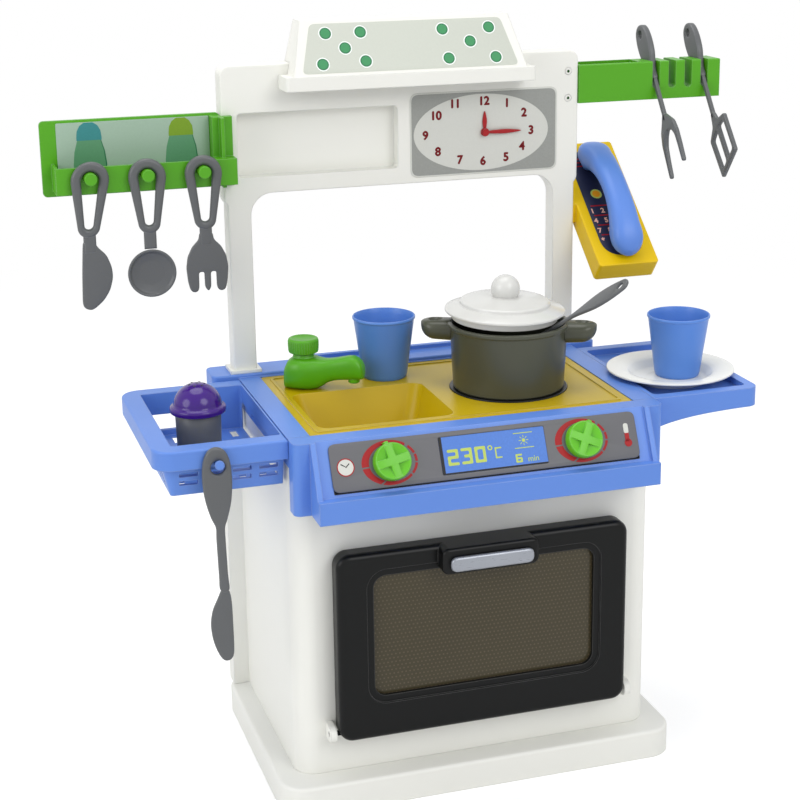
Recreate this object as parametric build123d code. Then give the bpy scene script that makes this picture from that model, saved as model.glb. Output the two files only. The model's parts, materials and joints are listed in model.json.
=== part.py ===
from build123d import *
import os
from math import atan2, cos, hypot, radians, sin

# Play kitchen for small children. Millimetres, +Z up, +Y to the back, +X to the right.
# The origin is on the floor, under the middle of the plinth.

# Driving sizes
CABINET_WIDTH = 424.0
CABINET_FRONT = -124.0
CABINET_BACK = 126.0
COUNTER_TOP = 430.0
FRAME_SIDE = 7.0
FRAME_TOP = 795.0
HALF_CABINET = CABINET_WIDTH / 2
FRAME_WIDTH = CABINET_WIDTH + 2 * FRAME_SIDE
HALF_FRAME = FRAME_WIDTH / 2
FRAME_FRONT = CABINET_BACK

# Moulded walls and clearances
WALL = 3.0
THIN_WALL = 2.0
FIT = 0.06
GAP = 0.3
LABEL = 0.8

# Plinth
PLINTH_SIDE = 23.0
PLINTH_WIDTH = CABINET_WIDTH + 2 * PLINTH_SIDE
PLINTH_DEPTH = 308.0
PLINTH_HEIGHT = 34.0
PLINTH_CORNER = 30.0
PLINTH_EDGE = 4.0
PAD_RADIUS = 30.0
RIB_PITCH = 78.0

# Cabinet
CABINET_TOP = COUNTER_TOP - 32.0
CABINET_CORNER = 24.0
BOSS_RADIUS = 6.0
BOSS_HEIGHT = 12.0
BOSS_INSET = 40.0
BOSS_WEB = 8.0

# Screws, all of one size
SCREW_RADIUS = 2.0
SCREW_LENGTH = 11.0
HEAD_RADIUS = 4.0
HEAD_HEIGHT = 2.2

# Oven door
DOOR_SIDE = 42.0
DOOR_WIDTH = CABINET_WIDTH - 2 * DOOR_SIDE
DOOR_HEIGHT = 220.0
DOOR_BOTTOM = PLINTH_HEIGHT + 47.0
DOOR_TOP = DOOR_BOTTOM + DOOR_HEIGHT
DOOR_CORNER = 16.0
DOOR_BACK_GAP = 1.5
DOOR_DEPTH = 27.5
DOOR_FACE = 4.0
DOOR_EDGE = 7.0
DOOR_HEEL = 8.0
WINDOW_SIDE = 41.0
WINDOW_WIDTH = DOOR_WIDTH - 2 * WINDOW_SIDE
WINDOW_BOTTOM = DOOR_BOTTOM + 50.0
WINDOW_TOP = DOOR_TOP - 28.0
WINDOW_CORNER = 14.0
WINDOW_STEP = 8.0
WINDOW_LEDGE = 3.0
PANE_LAP = 4.0
PANE_THICK = 2.0
HINGE_BEHIND_FACE = 15.0
HINGE_ABOVE_EDGE = 7.0
PIN_RADIUS = 3.0
PIN_SUNK = 2.5
PIN_REACH = 10.0
PIN_BLOCK = 7.0
LUG_THICK = 7.5
LUG_RADIUS = 9.0
LUG_GAP = 2.0
HANDLE_WIDTH = 112.0
HANDLE_HEIGHT = 30.0
HANDLE_OUT = 17.0
HANDLE_WALL = 5.0
HANDLE_CORNER = 8.0
HANDLE_EDGE = 4.0
GRIP_SIDE = 8.0
GRIP_WIDTH = HANDLE_WIDTH - 2 * GRIP_SIDE
GRIP_HEIGHT = 17.0
GRIP_THICK = 6.0
GRIP_DROP = 2.0
GRIP_EDGE = 3.5

# Oven behind the door
DOOR_LAP = 20.0
OVEN_WIDTH = DOOR_WIDTH - 2 * DOOR_LAP
OVEN_BOTTOM = DOOR_BOTTOM + 21.0
OVEN_TOP = DOOR_TOP - 13.0
OVEN_CORNER = 18.0
OVEN_DEPTH = 180.0
OVEN_FLANGE = 13.0
LEDGE_HEIGHT = OVEN_BOTTOM + 88.0
LEDGE_WIDTH = 8.0

# Worktop and its rear bar
WORKTOP_FRONT = CABINET_FRONT + 4.0
WORKTOP_PLATE = 8.0
TRAY_SEAT = 4.0
BAR_SIDE = 31.0
BAR_WIDTH = CABINET_WIDTH + 2 * BAR_SIDE
BAR_FRONT = CABINET_BACK - 8.0
BAR_DEPTH = 46.0
BAR_BOTTOM = COUNTER_TOP - 26.0
BAR_RAISE = 4.0
BAR_LIP_SHARE = 0.56
BAR_LIP_WIDTH = 7.0
BAR_LIP_HEIGHT = 5.0

# Back panel, from the plinth up to the worktop's rear bar
BACK_PANEL_INSET = 12.0
BACK_PANEL_WIDTH = BAR_WIDTH - 2 * BACK_PANEL_INSET
FRAME_DEPTH = 24.0

# Sink and hob tray
TRAY_SIDE = 25.0
TRAY_WIDTH = CABINET_WIDTH - 2 * TRAY_SIDE
TRAY_BACK = BAR_FRONT - 3.0
TRAY_THICK = 3.0
TRAY_CORNER = 5.0
RIM_INSET = 9.0
RIM_WIDTH = 3.0
RIM_HEIGHT = 1.2
HOB_RADIUS = 68.0
HOB_SIDE = 42.0
HOB_X = TRAY_WIDTH / 2 - HOB_RADIUS - HOB_SIDE
HOB_Y = WORKTOP_FRONT + 105.0
HOB_THICK = 2.5
HOB_SUNK = 1.0
BASIN_SIDE = 16.0
BASIN_HOB_GAP = 24.0
BASIN_LEFT = -TRAY_WIDTH / 2 + BASIN_SIDE
BASIN_RIGHT = HOB_X - HOB_RADIUS - BASIN_HOB_GAP
BASIN_LENGTH = 133.0
BASIN_FRONT = WORKTOP_FRONT + 21.0
BASIN_BACK = BASIN_FRONT + BASIN_LENGTH
BASIN_DEPTH = 46.0
BASIN_CORNER = 14.0
BASIN_TAPER = 14.0
BASIN_CLEAR = 7.0

# Tap
TAP_X = BASIN_LEFT + 24.0
TAP_Y = BASIN_BACK + 26.0
TAP_BASE_RADIUS = 23.0
TAP_TOP_RADIUS = 17.0
TAP_HEIGHT = 40.0
SPOUT_REACH = 72.0
SPOUT_WIDTH = 22.0
SPOUT_TURN = -32.0
TAP_STEM_RADIUS = 9.0
TAP_STEM_LENGTH = 12.0
TAP_KNOB_RADIUS = 17.8
TAP_KNOB_HEIGHT = 19.0
TAP_KNOB_STEM = 6.0
FLUTES = 36
FLUTE_RADIUS = 1.0

# Console in front of the worktop
SLOPE_SIDE = 18.0
SLOPE_WIDTH = CABINET_WIDTH - 2 * SLOPE_SIDE
CONSOLE_BOTTOM = COUNTER_TOP - 80.0
CONSOLE_END = WORKTOP_FRONT - 26.0
CONSOLE_CORNER = 8.0
SLOPE_DROP = 55.0
SLOPE_RUN = 27.0
SLOPE_TOP_Y = WORKTOP_FRONT - 22.0
SLOPE_BOTTOM_Y = SLOPE_TOP_Y - SLOPE_RUN
SLOPE_BOTTOM_Z = COUNTER_TOP - SLOPE_DROP
LIP_Y = SLOPE_BOTTOM_Y - 12.0
CHEEK_WIDTH = 6.0
CHEEK_HEIGHT = 5.0
PANEL_SIDE = 13.0
PANEL_WIDTH = SLOPE_WIDTH - 2 * (CHEEK_WIDTH + PANEL_SIDE)
PANEL_HEIGHT = 52.0
PANEL_THICK = 2.5
PANEL_CORNER = 8.0
DISPLAY_X = 6.5
DISPLAY_WIDTH = 121.0
DISPLAY_HEIGHT = 41.0
DISPLAY_CORNER = 2.0
DISPLAY_GAP = 0.2
KNOB_SPACING = 219.0
KNOB_RADIUS = 20.0
KNOB_HEIGHT = 12.0
KNOB_STEM_RADIUS = 4.0
KNOB_STEM_LENGTH = 14.0
KNOB_RIM = 3.0
KNOB_ARM = 8.0
KNOB_DISH = 3.2
KNOB_NUB = 5.0
LEFT_KNOB_TURN = 12.0
RIGHT_KNOB_TURN = -25.0

# Side basket on the left
BASKET_WIDTH = 142.0
BASKET_LEFT = -HALF_CABINET - BASKET_WIDTH
BASKET_FRONT = CABINET_FRONT - 2.0
BASKET_BACK = CABINET_BACK - 14.0
BASKET_RIM = 21.0
BASKET_BAND = 21.0
BASKET_FLOOR = COUNTER_TOP - 54.0
BASKET_TAPER = 8.0
BASKET_CORNER = 22.0
SLOT_LENGTH = 20.0
SLOT_HEIGHT = 5.0
HOOK_X = BASKET_LEFT + 65.0
HOOK_RADIUS = 3.5
HOOK_LENGTH = 15.0
HOOK_DROP = 5.0

# Side shelf on the right
SHELF_WIDTH = 133.0
SHELF_RIGHT = HALF_CABINET + SHELF_WIDTH
SHELF_FRONT = CABINET_FRONT + 2.0
SHELF_BACK = CABINET_BACK - 22.0
SHELF_INNER_DEPTH = 46.0
SHELF_OUTER_DEPTH = 22.0
SHELF_CORNER = 14.0
SHELF_RIM_SIDE = 6.0
SHELF_RIM_OUTER = 10.8
SHELF_RIM_ENDS = 14.0
SHELF_RECESS = 8.0
TAB_HALF = 12.0

# Back frame with its upper panel
FRAME_CORNER = 12.0
POST_INSET = 4.0
STEP_HEIGHT = 632.0
OPENING_SIDE = 31.0
OPENING_WIDTH = FRAME_WIDTH - 2 * OPENING_SIDE
OPENING_TOP = 647.0
OPENING_CORNER = 26.0
FOOT_LAP = 5.0
FOOT_HEIGHT = 4.0
PLUG_DEPTH = 34.0
PLUG_INSET = 3.4
PANEL_RIB_PITCH = 75.0
PANEL_RIB_RISE = 19.0

# Clock on the upper panel
CLOCK_WIDTH = 180.0
CLOCK_HEIGHT = 94.0
CLOCK_CORNER = 10.0
CLOCK_SIDE = 30.4
CLOCK_X = HALF_FRAME - CLOCK_SIDE - CLOCK_WIDTH / 2
CLOCK_Z = OPENING_TOP + 56.0
CLOCK_PIN_RADIUS = 2.5
HAND_THICK = 1.6
HAND_HUB = 6.0
HAND_STEM = 2.4
HOUR_LENGTH = 25.0
HOUR_LEAF = 3.9
MINUTE_LENGTH = 46.0
MINUTE_LEAF = 3.3

# Niche beside the clock
NICHE_SIDE = 18.0
NICHE_CLOCK_GAP = 17.6
NICHE_LEFT = -HALF_FRAME + NICHE_SIDE
NICHE_RIGHT = CLOCK_X - CLOCK_WIDTH / 2 - NICHE_CLOCK_GAP
NICHE_HEIGHT = 74.0
NICHE_BOTTOM = OPENING_TOP + 19.0
NICHE_TOP = NICHE_BOTTOM + NICHE_HEIGHT
NICHE_DEPTH = 17.0
NICHE_CORNER = 5.0

# Hood on top of the panel
HOOD_SIDE = 68.0
HOOD_STEP = 10.0
HOOD_TAPER = 15.0
HOOD_LIP_WIDTH = FRAME_WIDTH - 2 * HOOD_SIDE
HOOD_BASE_WIDTH = HOOD_LIP_WIDTH - 2 * HOOD_STEP
HOOD_TOP_WIDTH = HOOD_BASE_WIDTH - 2 * HOOD_TAPER
HOOD_LIP_FRONT = FRAME_FRONT - 38.0
HOOD_LIP_HEIGHT = 16.0
HOOD_LIP_BOTTOM = FRAME_TOP - 29.0
HOOD_LIP_TOP = HOOD_LIP_BOTTOM + HOOD_LIP_HEIGHT
HOOD_LIP_LEDGE = 4.0
HOOD_TOP = FRAME_TOP + 47.0
HOOD_TOP_FRONT = FRAME_FRONT - 5.0
HOOD_LABEL_MARGIN = 12.0

# Left rack with pegs
RACK_WIDTH = 203.0
RACK_HEIGHT = 85.0
RACK_LEFT = -HALF_FRAME - RACK_WIDTH
RACK_BOTTOM = OPENING_TOP + 10.0
RACK_TOP = RACK_BOTTOM + RACK_HEIGHT
RACK_BACK = FRAME_FRONT + 12.0
RACK_PLATE = 4.0
RACK_BRACKET = 12.0
TROUGH_LEFT = RACK_LEFT + 11.0
TROUGH_RIGHT = -HALF_FRAME + 11.0
TROUGH_FRONT = FRAME_FRONT - 28.0
TROUGH_BOTTOM = RACK_BOTTOM + 7.0
TROUGH_TOP = TROUGH_BOTTOM + 30.0
PEG_RADIUS = 7.0
PEG_LENGTH = 18.0
PEG_Z = TROUGH_BOTTOM + 19.0
PEG_FIRST_X = RACK_LEFT + 47.0
PEG_PITCH = 63.2
RACK_LABEL_LEFT = RACK_LEFT + 18.0
RACK_LABEL_RIGHT = -HALF_FRAME - 5.0

# Right rack with slots
BAR_RACK_WIDTH = 188.0
BAR_RACK_HEIGHT = 46.0
BAR_RACK_RIGHT = HALF_FRAME + BAR_RACK_WIDTH
BAR_RACK_FRONT = FRAME_FRONT - 2.0
BAR_RACK_DEPTH = 36.0
BAR_RACK_BOTTOM = FRAME_TOP - 64.0
BAR_RACK_TOP = BAR_RACK_BOTTOM + BAR_RACK_HEIGHT
BIN_RIGHT = HALF_FRAME + 81.0
SLOT_FIRST_X = BIN_RIGHT + 21.0
SLOT_PITCH = 21.6
SLOT_WIDTH = 9.5
SLOT_DEPTH = 33.0
TAB_LENGTH = 16.0
TAB_THICK = 4.0

# Phone
PHONE_GAP = 4.5
PHONE_WIDTH = 78.0
PHONE_LENGTH = 196.0
PHONE_THICK = 26.0
PHONE_CENTRE = (HALF_FRAME - POST_INSET + PHONE_GAP + PHONE_WIDTH / 2, FRAME_FRONT + 2.0, 607.0)
PHONE_SLOPE = 39.5
KEYPAD_WIDTH = 54.0
KEYPAD_LENGTH = 168.0
HANDSET_WIDTH = 36.0
HANDSET_LENGTH = 158.0
HANDSET_FOOT = 34.0
HANDSET_RISE = 24.0
HANDSET_THICK = 21.0
HANDSET_END = 12.0

# Cutlery that hangs on the pegs
CUTLERY_THICK = 9.0
CUTLERY_EDGE = 1.4
CUTLERY_GAP = 2.0
LOOP_INNER = 10.0
LOOP_BAND = 11.0
LOOP_LENGTH = 62.0
LOOP_FOOT = 8.0
KNIFE_LEAN = 4.0
CUTLERY_LENGTH = 170.0
HEAD_RAISE = 10.5
BOWL_HALF_WIDTH = 27.5
BOWL_HALF_HEIGHT = 27.0
BOWL_RADIUS = 32.0
BOWL_DEPTH = 6.0
FORK_HALF_WIDTH = 24.0
TINE_GAP = 6.4
TINE_GAP_X = 6.9
TINE_LENGTH = 23.0

# Spatula on the basket's hook
SPATULA_THICK = 7.0
SPATULA_LENGTH = 242.0
SPATULA_HOLE = 7.8
PADDLE_WIDTH = 31.0
PADDLE_LENGTH = 88.0
NECK_WIDTH = 8.5
BLADE_WIDTH = 28.0
BLADE_LENGTH = 80.0

# Roasting fork and turner in the right rack
TOOL_LEAN = 37.0
TOOL_THICK = 5.0
TOOL_NECK_Y = BAR_RACK_FRONT - 28.0
TOOL_NECK = 6.0
TOOL_PADDLE_WIDTH = 31.0
TOOL_PADDLE_THICK = 9.0
TOOL_ABOVE = 128.0

# Pot, lid and serving spoon
POT_RADIUS = 67.5
POT_BASE_RADIUS = 64.0
POT_HEIGHT = 76.0
POT_WALL = 2.5
POT_TURN = -25.0
EAR_WIDTH = 28.0
EAR_REACH = 29.0
EAR_RAISE = 1.5
EAR_DROP = 16.0
LID_RADIUS = 69.0
LID_EDGE = 5.0
LID_FLANGE_RADIUS = 61.0
LID_FLANGE = 8.5
LID_SHIFT = 5.0
LID_TILT = 1.7
LID_STEP_RADIUS = 50.0
LID_DOME = 17.0
LID_KNOB_RADIUS = 15.5
SPOON_TILT = 35.0
SPOON_AZIMUTH = -50.7
SPOON_LENGTH = 226.0
SPOON_OUT = 104.0
SPOON_NECK_THICK = 4.0

# Cups, plate and shaker
CUP_RIM_RADIUS = 37.0
CUP_BASE_RADIUS = 26.0
CUP_HEIGHT = 74.0
LEFT_CUP = (HOB_X - 123.0, TRAY_BACK - 42.0)
PLATE_CENTRE = (SHELF_RIGHT - 70.0, -31.0)
PLATE_RADIUS = 75.0
PLATE_FOOT_RADIUS = 44.0
PLATE_HEIGHT = 15.0
PLATE_THICK = 2.2
RIGHT_CUP_OFFSET = (13.0, 8.0)
SHAKER_X = BASKET_LEFT + 69.0
SHAKER_Y = -8.0
SHAKER_RADIUS = 25.5
SHAKER_HEIGHT = 62.0
CAP_RADIUS = 31.0
CAP_COLLAR = 8.0
DOME_RADIUS = 27.0

# Places that several pieces share
FRAME_BACK = FRAME_FRONT + FRAME_DEPTH
BAR_TOP = COUNTER_TOP + BAR_RAISE
TRAY_BOTTOM = COUNTER_TOP - TRAY_SEAT
TRAY_TOP = TRAY_BOTTOM + TRAY_THICK
DOOR_BACK = CABINET_FRONT - DOOR_BACK_GAP
DOOR_FRONT = DOOR_BACK - DOOR_DEPTH
HINGE_Y = DOOR_FRONT + HINGE_BEHIND_FACE
HINGE_Z = DOOR_BOTTOM + HINGE_ABOVE_EDGE
HALF_DOOR = DOOR_WIDTH / 2
LUG_X = HALF_DOOR + LUG_GAP
HOB_BOTTOM = TRAY_TOP - HOB_SUNK
HOB_TOP = HOB_BOTTOM + HOB_THICK
POT_BOTTOM = HOB_TOP
POT_RIM = POT_BOTTOM + POT_HEIGHT
SHELF_FLOOR = COUNTER_TOP - SHELF_RECESS
PLATE_WELL = SHELF_FLOOR + PLATE_THICK
POST_X = (OPENING_WIDTH + FRAME_WIDTH - 2 * POST_INSET) / 4
POST_WIDTH = (FRAME_WIDTH - 2 * POST_INSET - OPENING_WIDTH) / 2
SHAKER_BOTTOM = BASKET_FLOOR + THIN_WALL
CAP_Z = SHAKER_BOTTOM + SHAKER_HEIGHT

SLOPE_MID = (0, (SLOPE_TOP_Y + SLOPE_BOTTOM_Y) / 2, (COUNTER_TOP + SLOPE_BOTTOM_Z) / 2)
SLOPE_TILT = atan2(SLOPE_TOP_Y - SLOPE_BOTTOM_Y, COUNTER_TOP - SLOPE_BOTTOM_Z)
SLOPE = Plane(SLOPE_MID, x_dir=(1, 0, 0), z_dir=(0, -cos(SLOPE_TILT), sin(SLOPE_TILT)))
PHONE = Plane(
    PHONE_CENTRE,
    x_dir=(1, 0, 0),
    z_dir=(0, -sin(radians(PHONE_SLOPE)), cos(radians(PHONE_SLOPE))),
)


def block(x0, x1, y0, y1, z0, z1):
    """A block between two opposite corners."""
    size = Box(x1 - x0, y1 - y0, z1 - z0)
    return Pos((x0 + x1) / 2, (y0 + y1) / 2, (z0 + z1) / 2) * size


def slab(width, depth, corner, z0, z1, x=0.0, y=0.0):
    """A plate that lies flat, with rounded corners seen from above."""
    return extrude(Pos(x, y, z0) * RectangleRounded(width, depth, corner), z1 - z0)


def rod(radius, start, direction, length):
    """A round bar from a point along a direction."""
    plane = Plane(start, z_dir=direction)
    return extrude(plane * Circle(radius), length)


def front_view(sketch, y0, y1):
    """A sketch drawn in X and Z, as thick as the span from y0 back to y1."""
    plane = Plane((0, y0, 0), x_dir=(1, 0, 0), z_dir=(0, -1, 0))
    return extrude(plane * sketch, -(y1 - y0))


def side_view(sketch, x0, x1):
    """A sketch drawn in Y and Z, as wide as the span from x0 to x1."""
    plane = Plane((x0, 0, 0), x_dir=(0, 1, 0), z_dir=(1, 0, 0))
    return extrude(plane * sketch, x1 - x0)


def outline(*points):
    """A closed straight-sided outline."""
    return make_face(Polyline(*points, close=True))


def rounded(width, height, corner, x=0.0, z=0.0):
    """A rounded rectangle about a centre."""
    return Pos(x, z) * RectangleRounded(width, height, corner)


def screw(start, direction):
    """A screw whose head's outer face is at start, pointing along direction."""
    head = rod(HEAD_RADIUS, start, direction, HEAD_HEIGHT)
    shank = rod(SCREW_RADIUS, start, direction, SCREW_LENGTH)
    cross = rod(SCREW_RADIUS * 0.8, start, direction, HEAD_HEIGHT / 2)
    return head + shank - cross


def screw_hole(start, direction):
    """The clearance hole for one screw, head and shank."""
    head = rod(HEAD_RADIUS + GAP, start, direction, HEAD_HEIGHT)
    shank = rod(SCREW_RADIUS + FIT, start, direction, SCREW_LENGTH + GAP)
    return head + shank


def plinth_screw_places():
    """Heads of the screws that hold the cabinet on the plinth."""
    x = HALF_CABINET - WALL - 2 * BOSS_RADIUS
    z = PLINTH_HEIGHT - WALL
    places = (CABINET_FRONT + BOSS_INSET, CABINET_BACK - BOSS_INSET)
    return [(sx * x, y, z - HEAD_HEIGHT) for sx in (-1, 1) for y in places]


def panel_screw_places():
    """Heads of the screws that hold the back panel on the cabinet."""
    x = HALF_CABINET - WALL - BOSS_RADIUS
    y = FRAME_FRONT + WALL + HEAD_HEIGHT
    return [(sx * x, y, z) for sx in (-1, 1) for z in (PLINTH_HEIGHT + BOSS_INSET, CABINET_TOP - BOSS_INSET)]


def rack_screw_places():
    """Heads of the screws that hold the right rack, in the panel's face."""
    x = HALF_FRAME - WALL - 10
    return [(x, FRAME_FRONT - GAP, z) for z in (BAR_RACK_BOTTOM + 7, BAR_RACK_TOP - 7)]


def rib_places(low, high):
    """Evenly spaced middles of ribs between two walls, no further apart than the rib pitch."""
    cells = int((high - low) // RIB_PITCH) + 1
    return [low + (high - low) * (i + 1) / cells for i in range(cells - 1)]


def plinth():
    body = slab(PLINTH_WIDTH, PLINTH_DEPTH, PLINTH_CORNER, 0, PLINTH_HEIGHT)
    body = fillet(body.faces().sort_by(Axis.Z)[-1].edges(), PLINTH_EDGE)
    half_x = PLINTH_WIDTH / 2 - WALL
    half_y = PLINTH_DEPTH / 2 - WALL
    top = PLINTH_HEIGHT - WALL
    body -= slab(2 * half_x, 2 * half_y, PLINTH_CORNER - WALL, -1, top)
    for x in rib_places(-half_x, half_x):
        body += block(x - WALL / 2, x + WALL / 2, -half_y - 1, half_y + 1, 0, top + 1)
    for y in rib_places(-half_y, half_y):
        body += block(-half_x - 1, half_x + 1, y - WALL / 2, y + WALL / 2, 0, top + 1)
    body += extrude(Circle(PAD_RADIUS), WALL)
    for place in plinth_screw_places():
        body -= screw_hole(place, (0, 0, 1))
    return body


def cabinet_footprint(inset):
    """The cabinet seen from above, square at the back and rounded in front."""
    width = CABINET_WIDTH - 2 * inset
    depth = CABINET_BACK - CABINET_FRONT - inset
    face = Pos(0, (CABINET_FRONT + inset + CABINET_BACK) / 2) * Rectangle(width, depth)
    return fillet(face.vertices().group_by(Axis.Y)[0], CABINET_CORNER - inset)


def cabinet_shell():
    body = extrude(Pos(0, 0, PLINTH_HEIGHT) * cabinet_footprint(0), CABINET_TOP - PLINTH_HEIGHT)
    body -= extrude(Pos(0, 0, PLINTH_HEIGHT + WALL) * cabinet_footprint(WALL), CABINET_TOP)
    mouth = rounded(OVEN_WIDTH, OVEN_TOP - OVEN_BOTTOM, OVEN_CORNER, 0, (OVEN_TOP + OVEN_BOTTOM) / 2)
    body -= front_view(mouth, CABINET_FRONT - 1, CABINET_FRONT + WALL + 1)
    for side in (-1, 1):
        x0, x1 = sorted((side * LUG_X, side * (LUG_X + LUG_THICK)))
        arm = block(x0, x1, HINGE_Y, CABINET_FRONT + WALL, HINGE_Z - LUG_RADIUS, HINGE_Z + LUG_RADIUS)
        body += arm + rod(LUG_RADIUS, (x0, HINGE_Y, HINGE_Z), (1, 0, 0), LUG_THICK)
        body -= rod(PIN_RADIUS + FIT, (x0 - 1, HINGE_Y, HINGE_Z), (1, 0, 0), LUG_THICK + 2)
    for x, y, z in plinth_screw_places():
        body += rod(BOSS_RADIUS, (x, y, PLINTH_HEIGHT + WALL / 2), (0, 0, 1), BOSS_HEIGHT)
        body -= screw_hole((x, y, z), (0, 0, 1))
    for x, y, z in panel_screw_places():
        boss = rod(BOSS_RADIUS, (x, CABINET_BACK, z), (0, -1, 0), BOSS_HEIGHT)
        x0, x1 = sorted((x, HALF_CABINET - 1 if x > 0 else 1 - HALF_CABINET))
        web = block(x0, x1, CABINET_BACK - BOSS_HEIGHT, CABINET_BACK, z - BOSS_WEB / 2, z + BOSS_WEB / 2)
        body += boss + web
        body -= screw_hole((x, y, z), (0, -1, 0))
    return body


def oven_box():
    mid = (OVEN_TOP + OVEN_BOTTOM) / 2
    height = OVEN_TOP - OVEN_BOTTOM
    front = CABINET_FRONT + WALL
    back = front + OVEN_DEPTH
    outer = rounded(OVEN_WIDTH + 2 * THIN_WALL, height + 2 * THIN_WALL, OVEN_CORNER + THIN_WALL, 0, mid)
    body = front_view(outer, front, back)
    flange = rounded(OVEN_WIDTH + 2 * OVEN_FLANGE, height + 2 * OVEN_FLANGE, OVEN_CORNER + OVEN_FLANGE, 0, mid)
    body += front_view(flange, front, front + THIN_WALL)
    inner = rounded(OVEN_WIDTH, height, OVEN_CORNER, 0, mid)
    body -= front_view(inner, front - 1, back - THIN_WALL)
    for side in (-1, 1):
        x0, x1 = sorted((side * OVEN_WIDTH / 2, side * (OVEN_WIDTH / 2 - LEDGE_WIDTH)))
        body += block(x0, x1, front, back - THIN_WALL, LEDGE_HEIGHT, LEDGE_HEIGHT + THIN_WALL)
    return body


def door_hinge_pins():
    pins = []
    for side in (-1, 1):
        outer_x = side * (LUG_X + LUG_THICK - PIN_SUNK)
        length = LUG_THICK - PIN_SUNK + LUG_GAP + PIN_REACH
        pins.append(rod(PIN_RADIUS, (outer_x, HINGE_Y, HINGE_Z), (-side, 0, 0), length))
    return Compound(pins)


def door_frame():
    mid = (DOOR_TOP + DOOR_BOTTOM) / 2
    height = DOOR_TOP - DOOR_BOTTOM
    window_mid = (WINDOW_TOP + WINDOW_BOTTOM) / 2
    window_height = WINDOW_TOP - WINDOW_BOTTOM
    body = front_view(rounded(DOOR_WIDTH, height, DOOR_CORNER, 0, mid), DOOR_FRONT, DOOR_BACK)
    body = fillet(body.faces().sort_by(Axis.Y)[0].edges(), DOOR_EDGE)
    heel = body.faces().sort_by(Axis.Y)[-1].edges().sort_by(Axis.Z)[0]
    body = fillet(heel, DOOR_HEEL)
    pocket_front = DOOR_FRONT + DOOR_FACE
    pocket = rounded(DOOR_WIDTH - 2 * WALL, height - 2 * WALL, DOOR_CORNER - WALL, 0, mid)
    pocket_floor = DOOR_BOTTOM + DOOR_HEEL
    hollow = front_view(pocket, pocket_front, DOOR_BACK + 1)
    hollow -= block(-DOOR_WIDTH, DOOR_WIDTH, pocket_front, DOOR_BACK + 1, 0, pocket_floor)
    ledge = rounded(
        WINDOW_WIDTH + 2 * (PANE_LAP + WALL), window_height + 2 * (PANE_LAP + WALL), WINDOW_CORNER + WALL, 0, window_mid
    )
    hollow -= front_view(ledge, pocket_front, pocket_front + WINDOW_LEDGE)
    body -= hollow
    for side in (-1, 1):
        x0, x1 = sorted((side * (HALF_DOOR - PIN_REACH - 4), side * (HALF_DOOR - WALL)))
        body += block(
            x0, x1, HINGE_Y - PIN_BLOCK, HINGE_Y + PIN_BLOCK, pocket_floor - 1, HINGE_Z + PIN_BLOCK
        )
        body -= rod(PIN_RADIUS + FIT, (side * (HALF_DOOR + 1), HINGE_Y, HINGE_Z), (-side, 0, 0), PIN_REACH + 2)
    step = rounded(
        WINDOW_WIDTH + 2 * WINDOW_STEP, window_height + 2 * WINDOW_STEP, WINDOW_CORNER + WINDOW_STEP, 0, window_mid
    )
    body -= front_view(step, DOOR_FRONT - 1, DOOR_FRONT + 2 * DOOR_FACE / 3)
    view = rounded(WINDOW_WIDTH, window_height, WINDOW_CORNER, 0, window_mid)
    body -= front_view(view, DOOR_FRONT - 1, DOOR_BACK + 1)
    return body + door_hood()


def door_hood():
    """The hooded block that carries the grip, open below for the fingers."""
    hood_z = DOOR_TOP - HANDLE_HEIGHT / 2
    front = DOOR_FRONT - HANDLE_OUT
    hood = front_view(rounded(HANDLE_WIDTH, HANDLE_HEIGHT, HANDLE_CORNER, 0, hood_z), front, DOOR_FRONT + 1)
    hood = fillet(hood.faces().sort_by(Axis.Y)[0].edges(), HANDLE_EDGE)
    root = rounded(HANDLE_WIDTH, 2 * HANDLE_CORNER, HANDLE_CORNER - GAP, 0, DOOR_TOP - HANDLE_CORNER)
    hood += front_view(root, DOOR_FRONT, DOOR_FRONT + DOOR_EDGE)
    inner_width = HANDLE_WIDTH - 2 * HANDLE_WALL
    hood -= block(
        -inner_width / 2,
        inner_width / 2,
        front + HANDLE_WALL,
        DOOR_FRONT,
        DOOR_TOP - HANDLE_HEIGHT - 1,
        DOOR_TOP - 2 * HANDLE_WALL,
    )
    return hood


def door_window():
    window_mid = (WINDOW_TOP + WINDOW_BOTTOM) / 2
    front = DOOR_FRONT + DOOR_FACE + WINDOW_LEDGE
    pane = rounded(
        WINDOW_WIDTH + 2 * PANE_LAP, WINDOW_TOP - WINDOW_BOTTOM + 2 * PANE_LAP, WINDOW_CORNER, 0, window_mid
    )
    return front_view(pane, front, front + PANE_THICK)


def door_handle():
    front = DOOR_FRONT - HANDLE_OUT
    z = DOOR_TOP - HANDLE_HEIGHT / 2 - GRIP_DROP
    grip = front_view(rounded(GRIP_WIDTH, GRIP_HEIGHT, GRIP_HEIGHT / 2 - 0.5, 0, z), front - GRIP_THICK, front)
    return fillet(grip.faces().sort_by(Axis.Y)[0].edges(), GRIP_EDGE)


def back_panel():
    low = PLINTH_HEIGHT
    high = BAR_TOP - WALL - BAR_RAISE / 4
    half = BACK_PANEL_WIDTH / 2
    body = block(-half, half, FRAME_FRONT, FRAME_BACK, low, high)
    x1, y0, z0, z1 = half - WALL, FRAME_FRONT + WALL, low + WALL, high - WALL
    body -= block(-x1, x1, y0, FRAME_BACK + 1, z0, z1)
    for x in rib_places(-x1, x1):
        body += block(x - WALL / 2, x + WALL / 2, y0 - 1, FRAME_BACK, z0 - 1, z1 + 1)
    for z in rib_places(z0, z1):
        body += block(-x1 - 1, x1 + 1, y0 - 1, FRAME_BACK, z - WALL / 2, z + WALL / 2)
    for side in (-1, 1):
        body -= block(*post_plug_span(side, GAP), high - WALL - 1, high + 1)
    for place in panel_screw_places():
        body -= screw_hole(place, (0, -1, 0))
    return body


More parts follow.
